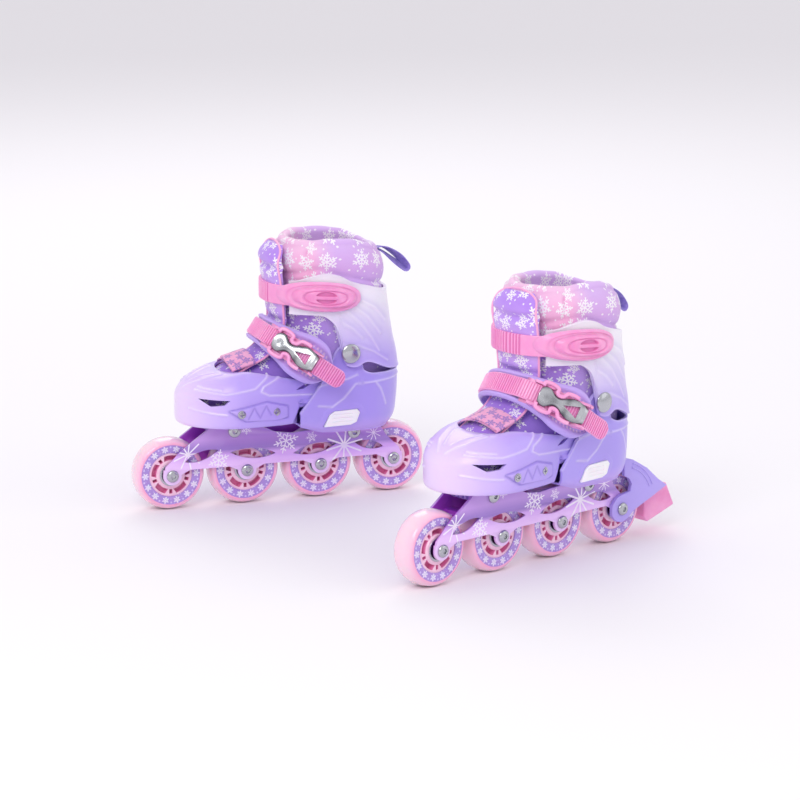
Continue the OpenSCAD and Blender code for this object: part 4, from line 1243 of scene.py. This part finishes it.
# %% Liner
LINER_TOP, LINER_FLOOR = 250, 108
LINER_FRONT = [(100, -90), (108, -92), (115, -89), (121, -79), (127, -63), (133, -46), (140, -28),
               (149, -12), (160, -2), (173, 3), (190, 4), (226, 3), (250, 4)]
LINER_BACK = [(100, 111), (115, 113), (149, 110), (173, 107), (208, 102.4), (250, 98.5)]
LINER_HALF = [(100, 39.5), (108, 41), (121, 40), (160, 40.5), (173, 41), (190, 43), (208, 44.6),
              (226, 45.2), (240, 44.6), (250, 42.5)]
LINER_FRONT_HALF = [(108, 40), (115, 39.5), (121, 35), (127, 31), (133, 28), (149, 28), (160, 34),
                    (173, 40), (190, 42), (208, 44.4), (250, 42.5)]
LINER_WALL = [(100, 5), (149, 6), (190, 7), (226, 9), (240, 10), (250, 10)]
COLLAR_RISE = [(0, 2), (20, 5), (58, 5), (80, 0), (100, -8)]
COLLAR_SEAM = [(0, 224), (30, 229), (60, 222), (100, 214)]


def liner_ring(angle, z, inset):
    """A point of the liner's ring at a height, an inset inside its outer face."""
    spot = oval(angle, curve(z, LINER_FRONT) + inset, curve(z, LINER_BACK) - inset, 1)
    share = (spot.x + 60) / 90
    half = mix(curve(z, LINER_FRONT_HALF), curve(z, LINER_HALF), share) - inset
    spot.y *= half
    spot.z = z
    return spot


def liner_place(u, v):
    angle = 180 + 360 * u
    if v < 0.5:
        z, inset, rise = mix(100, LINER_TOP, v / 0.5), 0, 0
    elif v < 0.64:
        roll = (v - 0.5) / 0.14 * math.pi
        wall = curve(LINER_TOP, LINER_WALL)
        z, inset, rise = LINER_TOP, wall / 2 * (1 - math.cos(roll)), wall / 2 * math.sin(roll)
    else:
        z, rise = mix(LINER_TOP, LINER_FLOOR, (v - 0.64) / 0.36), 0
        inset = curve(z, LINER_WALL)
    spot = liner_ring(angle, z, inset)
    seam = curve(spot.x, COLLAR_SEAM)
    if v < 0.5 and z > seam:
        swell = math.sin(math.pi * min(1, (z - seam) / (LINER_TOP + 6 - seam)))
        spot = spot.lerp(liner_ring(angle, z, -4.5), 0.9 * swell)
    if v < 0.5:
        pull = bump(z - seam, 1.6) + 0.7 * bump(angle % 360 - 52, 1.6) * step(z - 150, 10)
        pull += 0.7 * bump(angle % 360 - 308, 1.6) * step(z - 150, 10)
        spot = spot.lerp(liner_ring(angle, z, 1.6), min(1, pull))
    wave = 0.5 * math.sin(math.radians(angle * 5)) + 0.3 * math.sin(math.radians(angle * 11))
    high = step(z - 205, 45)
    spot.z = z + rise + high * (curve(spot.x, COLLAR_RISE) + wave)
    if z < 196 and v < 0.5 and spot.x < 70:
        return spot, (spot.x, spot.z, 0)
    return spot, (u * 330, spot.z if v < 0.57 else 512 - spot.z, 0)


liner_bm = close_ends(sheet(220, 150, liner_place, closed=True))
liner_mesh = bench_mesh(liner_bm)
liners = {}
for side in SIDES:
    piece = put(liner_mesh, f"{side}_liner_sewn", side, None, LINER_KNIT,
                replaces=(f"{side}_liner",), sharp=80)
    liners[side] = piece
print("liner:", len(liner_mesh.polygons), "faces")

# %% [markdown]
# ## Tongue
#
# The tongue is a padded strip that lies over the instep and stands up in front of the
# shin. Its section is carried along the instep's line; its thickness dips at two sewn
# seams. A tube of tape is sewn round its edge.

# %% Paths through a few points
def along(points, up):
    """A smooth path through points, for loop: spot, way out, way across."""
    runs = [0]
    for a, b in zip(points, points[1:]):
        runs.append(runs[-1] + (Vector(b) - Vector(a)).length)
    knots = [[(r / runs[-1], p[i]) for r, p in zip(runs, points)] for i in range(3)]

    def at(v):
        return Vector([curve(v, k) for k in knots])

    def path(v):
        run = (at(min(1, v + 0.004)) - at(max(0, v - 0.004))).normalized()
        side = run.cross(Vector(up)).normalized()
        return at(v), side.cross(run), side
    return path, runs[-1]


# %% Tongue
TONGUE = [(-68, 0, 122), (-54, 0, 131.5), (-40, 0, 137.8), (-27, 0, 143.6), (-14, 0, 152),
          (-5.5, 0, 163), (-1.2, 0, 175), (-0.2, 0, 190), (-0.8, 0, 206), (-2.4, 0, 222),
          (-3.4, 0, 238), (-1, 0, 254)]
TONGUE_THICK = [(0, 3), (0.3, 4.4), (0.48, 6), (0.62, 8.5), (0.8, 10.5), (0.92, 12.5), (1, 6)]
TONGUE_HALF = [(0, 24), (0.35, 24.5), (0.7, 27), (0.88, 28), (0.96, 25), (1, 18)]
TONGUE_SEAMS = (0.56, 0.72, 0.87)
tongue_line, tongue_length = along(TONGUE, (1, 0, -0.4))


def tongue_path(v):
    spot, out, side = tongue_line(v)
    run = side.cross(out)
    forward = Vector((-run.z, 0, run.x))
    if forward.x > 0 or (abs(forward.x) < 0.2 and forward.z < 0):
        forward.negate()
    return spot, forward, Vector((0, 1, 0))


def tongue_section(u, v):
    thick = curve(v, TONGUE_THICK)
    bow = 0.02 * (0.5 - abs(0.5 - u % 0.5 * 2))
    for seam in TONGUE_SEAMS:
        thick -= 0.5 * thick * bump(v - seam - bow, 0.02)
    half = curve(v, TONGUE_HALF)
    away, wide = rounded(u, thick / 2, half, 0.75)
    k = wide / half
    return away + thick / 2 - 3.2 * k * k, wide


tongue_mesh = bench_mesh(loop(72, 150, tongue_path, tongue_section, tongue_length))
edge_steps = [0.06, 0.2, 0.35, 0.5, 0.65, 0.8, 0.9, 0.97]


def tongue_edge(v, sign):
    spot, out, _ = tongue_path(v)
    return tuple(spot + out * (curve(v, TONGUE_THICK) * 0.62 - 3)
                 + Vector((0, sign * (curve(v, TONGUE_HALF) + 0.2), 0)))


top_spot, top_out, _ = tongue_path(1)
piping_points = ([tongue_edge(v, -1) for v in edge_steps]
                 + [tuple(top_spot + top_out * 2 + Vector((0, y, 1.5))) for y in (-9, 9)]
                 + [tongue_edge(v, 1) for v in reversed(edge_steps)])
piping_path, piping_length = along(piping_points, (-1, 0, 0.3))
piping_mesh = bench_mesh(loop(12, 160, piping_path, lambda u, v: rounded(u, 1.1, 1.1, 1)))
for side in SIDES:
    piece = put(tongue_mesh, f"{side}_tongue_sewn", side, None,
                TONGUE_KNIT, replaces=(f"{side}_tongue",), sharp=80)
    tape = put(piping_mesh, f"{side}_tongue_piping", side, None, PIPING)
    for soft in (piece, tape, liners[side]):
        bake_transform(soft)
print("tongue:", len(tongue_mesh.polygons), "faces, piping", round(piping_length), "mm")

# %% [markdown]
# ## Cuff strap and buckle
#
# The cuff closes with a moulded strap, ribbed where it slides in the buckle. The buckle's
# body and its lever are two ovals that follow the cuff's curve. An oval is a dish: a grid
# in rings, whose height changes with its radius, laid on the cuff's oval.

# %% Cuff strap
STRAP_Z, STRAP_X, STRAP_FRONT, STRAP_HALF = 208, 53, 64.5, 49.4
STRAP_SQUARE = 0.85
STRAP_FROM, STRAP_TO = -80, 50


def strap_oval(angle, off):
    turn = math.radians(angle)
    return Vector((STRAP_X - (STRAP_FRONT + off) * power(math.cos(turn), STRAP_SQUARE),
                   -(STRAP_HALF + off) * power(math.sin(turn), STRAP_SQUARE), STRAP_Z))


def strap_path(v):
    angle = mix(STRAP_FROM, STRAP_TO, v)
    spot = strap_oval(angle, 1.9)
    run = (strap_oval(angle + 0.5, 1.9) - strap_oval(angle - 0.5, 1.9)).normalized()
    return spot, Vector((run.y, -run.x, 0)), Vector((0, 0, 1))


def strap_section(u, v):
    away, wide = rounded(u, 1.3, 9.5, 0.3)
    angle = mix(STRAP_FROM, STRAP_TO, v)
    if away < 0 or not -50 < angle < 12:
        return away, wide, 0
    rib = step(math.cos(angle * math.tau / 3.2) + 0.35, 0.5)
    # The mark paints the grooves between the ribs deeper pink: painted shade.
    return away + 0.9 * rib, wide, 1 - rib


strap_mesh = bench_mesh(loop(40, 560, strap_path, strap_section))
on_both(strap_mesh, "cuff_strap_moulded", "cuff_strap", "cuff_body", STRAP_PINK)
print("cuff strap:", len(strap_mesh.polygons), "faces")


# %% Ovals on the cuff
def on_cuff(x, z, off):
    """A spot off the strap's oval on the buckle side, by its x and z."""
    share = power((STRAP_X - x) / (STRAP_FRONT + off), 1 / STRAP_SQUARE)
    share = min(0.999, max(-0.999, share))
    return Vector((x, -(STRAP_HALF + off) * math.sin(math.acos(share)) ** STRAP_SQUARE, z))


def dish(centre, half_long, half_high, tilt, height, floor_off, rings=40, spokes=120, square=0.85):
    """A closed oval on the cuff; height(r, x, y) is its top's distance off it, and its mark."""
    def place(u, v):
        turn = math.tau * u
        top = v < 0.6
        r = v / 0.6 if top else (1 - v) / 0.4
        x, y = r * power(math.cos(turn), square), r * power(math.sin(turn), square)
        off, mark = height(r, x, y) if top else (floor_off, 0)
        along_x = half_long * x
        up = half_high * y
        c, s = math.cos(tilt), math.sin(tilt)
        spot = on_cuff(centre[0] + along_x * c - up * s, centre[1] + along_x * s + up * c, off)
        return spot, (along_x, up, mark)
    bm = sheet(spokes, rings * 2, place, closed=True)
    bmesh.ops.recalc_face_normals(bm, faces=bm.faces)
    return bench_mesh(bm)


BUCKLE_TILT = math.radians(-4)


def body_height(r, x, y):
    round_edge = 2.6 * (1 - step((r - 0.86), 0.14))
    well = 0.5 * step((0.86 - r), 0.06)
    # The mark paints a line at the edge of the well deeper pink: painted shade.
    return 4.0 + round_edge - well, 0.4 * bump(r - 0.84, 0.04)


def lever_height(r, x, y):
    top = 9.6 - 2.9 * step(r - 0.84, 0.16)
    top -= 0.9 * bump(r - 0.66, 0.055)
    top += 0.3 * bump(r - 0.74, 0.05)
    hollow = step(1 - (x / 0.36) ** 2 - (y / 0.62) ** 2, 0.35)
    bar = step(abs(y) - 0.13, 0.08)
    top += 0.5 * hollow * (1 - bar)
    # The mark paints the thumb hollow and the ring groove deeper pink: painted shade.
    return top - 2.2 * hollow * bar, min(1, 0.9 * hollow * bar + 0.7 * bump(r - 0.66, 0.045))


buckle_mesh = dish((29, 207.5), 38.5, 14.6, BUCKLE_TILT, body_height, 3.5)
lever_mesh = dish((31.5, 207.5), 31, 10.2, BUCKLE_TILT, lever_height, 6.7, rings=60, spokes=160)
for side in SIDES:
    put(buckle_mesh, f"{side}_cuff_buckle_moulded", side, f"{side}_cuff_body",
        STRAP_PINK, replaces=(f"{side}_cuff_buckle",), sharp=60)
    put(lever_mesh, f"{side}_cuff_lever_moulded", side, f"{side}_cuff_lever_body",
        BUCKLE_PINK, replaces=(f"{side}_cuff_lever",), sharp=60)
print("buckle:", len(buckle_mesh.polygons), "faces, lever", len(lever_mesh.polygons))

# %% [markdown]
# ## Ankle strap
#
# A ladder strap comes over the instep in a sloping plane, through a chromed ratchet lever
# and ends in a free tail. A foam pad under it spreads its pull. All three are carried
# along the same oval in that plane.

# %% The sloping plane
SLOPE = math.radians(34.7)
SLOPED = Matrix.Translation((-21, 0, 171.5)) @ Matrix.Rotation(SLOPE, 4, "Y")
ANKLE_X, ANKLE_FRONT, ANKLE_HALF = 60, 56.6, 51.6
SLOPE_UP = SLOPED.to_3x3() @ Vector((0, 0, 1))


def ankle_oval(angle, off):
    turn = math.radians(angle)
    return Vector((ANKLE_X - (ANKLE_FRONT + off) * math.cos(turn),
                   -(ANKLE_HALF + off) * math.sin(turn), 0))


def sloped_path(points):
    """A path for loop through points in the sloping plane; out is away from the foot."""
    line, length = along([tuple(p) for p in points], (0, 0, 1))

    def path(v):
        spot, _, side = line(v)
        out = Vector((side.x, side.y, 0)).normalized()
        if out.dot(spot - Vector((ANKLE_X, 0, 0))) < 0:
            out.negate()
        return SLOPED @ spot, SLOPED.to_3x3() @ out, SLOPE_UP
    return path, length


# %% Ladder strap
STRAP_END = 0.965
ladder_points = ([ankle_oval(a, 5.0) for a in range(-92, 9, 4)]
                 + [ankle_oval(a, min(8.1, 5 + 0.3 * (a - 12))) for a in range(14, 51, 4)]
                 + [Vector((46, -64, 0)), Vector((58, -64.8, 0)), Vector((80, -66, 0))])
ladder_path, ladder_length = sloped_path(ladder_points)
RIB_MM = 2.6


def ladder_section(u, v):
    half = 9.0
    if v > STRAP_END:
        half *= math.sqrt(max(0.02, 1 - ((v - STRAP_END) / (1 - STRAP_END)) ** 2))
    away, wide = rounded(u, 1.15, half, 0.3)
    if away < 0 or abs(wide) > half - 0.8:
        return away, wide, 0
    rib = step(math.cos(v * ladder_length * math.tau / RIB_MM) + 0.35, 0.5)
    # The mark paints the grooves between the ribs deeper pink: painted shade.
    return away + 0.75 * rib, wide, 1 - rib


ladder_mesh = bench_mesh(loop(36, 700, ladder_path, ladder_section))

# %% Pad
PAD_FROM, PAD_TO = -96, 100
pad_path, pad_length = sloped_path([ankle_oval(a, 1.4) for a in range(PAD_FROM, PAD_TO + 1, 7)])

# How far the pad reaches above and below the strap's middle, by angle round the oval
PAD_TOP = [(-96, 8), (-84, 13), (-70, 14.5), (15, 14.5), (45, 18), (60, 21.5), (72, 23), (84, 20),
           (93, 12), (100, 4)]
PAD_LOW = [(-96, -8), (-84, -12.5), (-70, -13.5), (15, -13.5), (45, -17.5), (60, -21.5),
           (76, -21.5), (87, -18), (95, -10), (100, -3)]


def pad_section(u, v):
    angle = mix(PAD_FROM, PAD_TO, v)
    away, share = rounded(u, 1.4, 1, 0.75)
    k = abs(share)
    wide = mix(curve(angle, PAD_LOW), curve(angle, PAD_TOP), share / 2 + 0.5)
    if away > 0:
        away += 0.4 + 2.6 * bump(k - 0.82, 0.16) - 0.7 * bump(k - 0.62, 0.05)
    return away, wide, bump(k - 0.62, 0.04) * step(math.cos(v * pad_length * 1.6), 0.3)


pad_mesh = bench_mesh(loop(84, 300, pad_path, pad_section, pad_length))
for side in SIDES:
    put(ladder_mesh, f"{side}_ankle_strap_moulded", side, "base", STRAP_PINK,
        replaces=(f"{side}_ankle_strap",))
    pad = put(pad_mesh, f"{side}_ankle_pad_sewn", side, "base", PAD_KNIT,
              replaces=(f"{side}_ankle_pad",), sharp=80)
print("ladder strap:", round(ladder_length), "mm,", len(ladder_mesh.polygons), "faces")

# %% [markdown]
# ## Ratchet lever
#
# The lever is a pressed and polished plate: a round thumb end with a dimple, a narrow
# waist and a wide rear with a triangular window over the strap. It is shaped flat and
# then laid on its line beside the strap.

# %% Ratchet lever
LEVER_FROM, LEVER_TO = Vector((6, -39.9, 0)), Vector((46, -66.2, 0))
lever_run = (LEVER_TO - LEVER_FROM).normalized()
lever_out = Vector((lever_run.y, -lever_run.x, 0))
LEVER_LENGTH = (LEVER_TO - LEVER_FROM).length
turned_plane = Matrix((lever_run, (0, 0, 1), lever_out)).transposed().to_4x4()
LEVER_PLACE = SLOPED @ Matrix.Translation(LEVER_FROM) @ turned_plane
LEVER_HALF = [(0, 0.8), (0.6, 5.2), (2, 7.4), (4.5, 8.8), (8, 9.2), (11, 7.8), (15, 5),
              (19, 4.2), (22, 5), (27, 8), (33, 10.2), (37, 10.2), (45, 8.6), (LEVER_LENGTH, 7.4)]


def lever_path(v):
    return Vector((v * LEVER_LENGTH, 0, 1.7)), Vector((0, 0, 1)), Vector((0, 1, 0))


def ratchet_section(u, v):
    x = v * LEVER_LENGTH
    half = curve(x, LEVER_HALF)
    away, wide = rounded(u, 1.2, half, 0.5)
    if away < 0:
        # The underside is marked darker: painted shade.
        return away, wide, 0.6
    k = wide / half
    dimple = bump(math.hypot(x - 7.6, wide), 3.0)
    away += 1.2 * (1 - k * k) - 0.9 * dimple + 0.5 * bump(x - 44, 2.2)
    # The mark paints the plate's side edges, the dimple, the waist and the window's end darker:
    # painted shade and dark reflections.
    shade = 0.8 * step(abs(k) - 0.5, 0.6) + 0.4 * dimple + 0.55 * bump(x - 15, 5)
    return away, wide, min(1, shade + 0.5 * bump(x - 28, 3))


ratchet_bm = loop(56, 160, lever_path, ratchet_section)
window = slab([(24.5, 0), (LEVER_LENGTH - 8, 5.8), (LEVER_LENGTH - 8, -5.8)], -10, 10)
bmesh.ops.rotate(window, verts=window.verts, matrix=Matrix.Rotation(math.pi / 2, 3, "X"))
ratchet_mesh = finished(ratchet_bm, bevel=0.25, cuts=(window,), angle=50)
ratchet_mesh.transform(LEVER_PLACE)
HOOK = [(1, 8.5), (2, 12), (6, 13.2), (12, 13), (15.5, 11.5), (15.5, 8), (18, 6.4), (22, 7.4),
        (25, 11.6), (31, 12.8), (36, 12.4)]
hook_meshes = []
for sign in (-1, 1):
    hook_path, _ = along([(x, sign * y, 1.6) for x, y in HOOK], (0, 0, 1))
    hook = bench_mesh(loop(16, 70, hook_path, lambda u, v: rounded(u, 2.1, 1.9, 0.8)))
    hook.transform(LEVER_PLACE)
    hook_meshes.append(hook)
for side in SIDES:
    put(ratchet_mesh, f"{side}_ankle_lever_polished", side, f"{side}_ankle_lever_body",
        LEVER_STEEL, replaces=(f"{side}_ankle_lever",), sharp=50)
    base_copy = cad_copy(f"{side}_ankle_buckle", side, 0.5)
    put(joined(base_copy, *hook_meshes), f"{side}_ankle_buckle_moulded", side, "base",
        STRAP_PINK, replaces=(f"{side}_ankle_buckle",))
print("ratchet lever:", len(ratchet_mesh.polygons), "faces")

# %% [markdown]
# ## Instep strap and pull loop
#
# A woven tape goes over the toes through slots in the shell, folds on the buckle side
# and comes back over itself. A ribbon is sewn to the liner's back as a pull loop. Both
# are thin bands carried along a path that includes the fold.

# %% Instep strap
TAPE_RISE, TAPE_R, TAPE_TOP = math.radians(15), 46, 146.4
tape_frame = (Matrix.Translation((-32, 0, TAPE_TOP - TAPE_R))
              @ Matrix.Rotation(-TAPE_RISE, 4, "Y"))


def tape_arc(off, degrees):
    """Points of the arc over the toes, off the shell's own arc."""
    return [(0, (TAPE_R + off) * math.sin(math.radians(a)),
             (TAPE_R + off) * math.cos(math.radians(a))) for a in degrees]


lower = tape_arc(0.7, range(32, -33, -4))
fold = [(0, -26.6, 40.6), (0, -26.2, 42.0)]
upper = tape_arc(2.7, range(-29, 9, 4))
tape_line, tape_length = along(lower + fold + upper, (1, 0, 0))


def tape_path(v):
    spot, out, side = tape_line(v)
    return spot, side, out


tape_mesh = bench_mesh(loop(24, 200, tape_path, lambda u, v: rounded(u, 0.8, 12.4, 0.25),
                            tape_length))
tape_mesh.transform(tape_frame)
LOOP = [(100.5, 0, 243), (106, 0, 243.2), (113, 0, 240.5), (124, 0, 232.5), (131.5, 0, 223),
        (131.6, 0, 220.8), (129.6, 0, 221), (119, 0, 228.6), (110, 0, 236), (104, 0, 240),
        (100.5, 0, 240.5)]
ribbon_line, ribbon_length = along(LOOP, (0, 1, 0))


def ribbon_path(v):
    """The ribbon's line; it turns over a little at its far end."""
    spot, up, out = ribbon_line(v)
    turn = Matrix.Rotation(math.radians(32) * math.sin(math.pi * v), 3, out.cross((0, 1, 0)))
    return spot, turn @ out, turn @ Vector((0, 1, 0))


ribbon_mesh = bench_mesh(loop(16, 160, ribbon_path, lambda u, v: rounded(u, 0.6, 5.6, 0.3),
                              ribbon_length))
for side in SIDES:
    put(tape_mesh, f"{side}_instep_strap_woven", side, f"{side}_toe",
        STRAP_PRINT, replaces=(f"{side}_instep_strap",))
    put(ribbon_mesh, f"{side}_pull_loop_woven", side, f"{side}_cuff_body",
        RIBBON_WEAVE, replaces=(f"{side}_pull_loop",))
print("instep tape:", round(tape_length), "mm")

# %% [markdown]
# ## Heel brake
#
# The brake arm is a thick moulding that straddles the last wheel; a rubber pad is pushed
# into its end. Two raised contour lines run over each cheek of the arm.

# %% Heel brake
ARM_OUT = 22
cheek_lines = []
for radius in (39.5, 43.5):
    for sign in (-1, 1):
        bow = [(AXLES[3] + radius * math.cos(math.radians(a)), sign * ARM_OUT,
                AXLE_Z + radius * math.sin(math.radians(a))) for a in range(24, 77, 6)]
        bow_path, _ = along(bow, (0, 1, 0))
        cheek_lines.append(bench_mesh(loop(10, 60, bow_path, lambda u, v: rounded(u, 0.9, 0.9, 1))))
arm_copy = cad_copy("brake_arm", "right", 2.4, segments=4)
put(joined(arm_copy, *cheek_lines), "brake_arm_moulded", "right", "base",
    ARM_PLASTIC, replaces=("brake_arm",))
show_copy("brake_pad", "right", "brake_pad_moulded", "base", "brake_rubber", PAD_RUBBER, 1.4,
          segments=3)
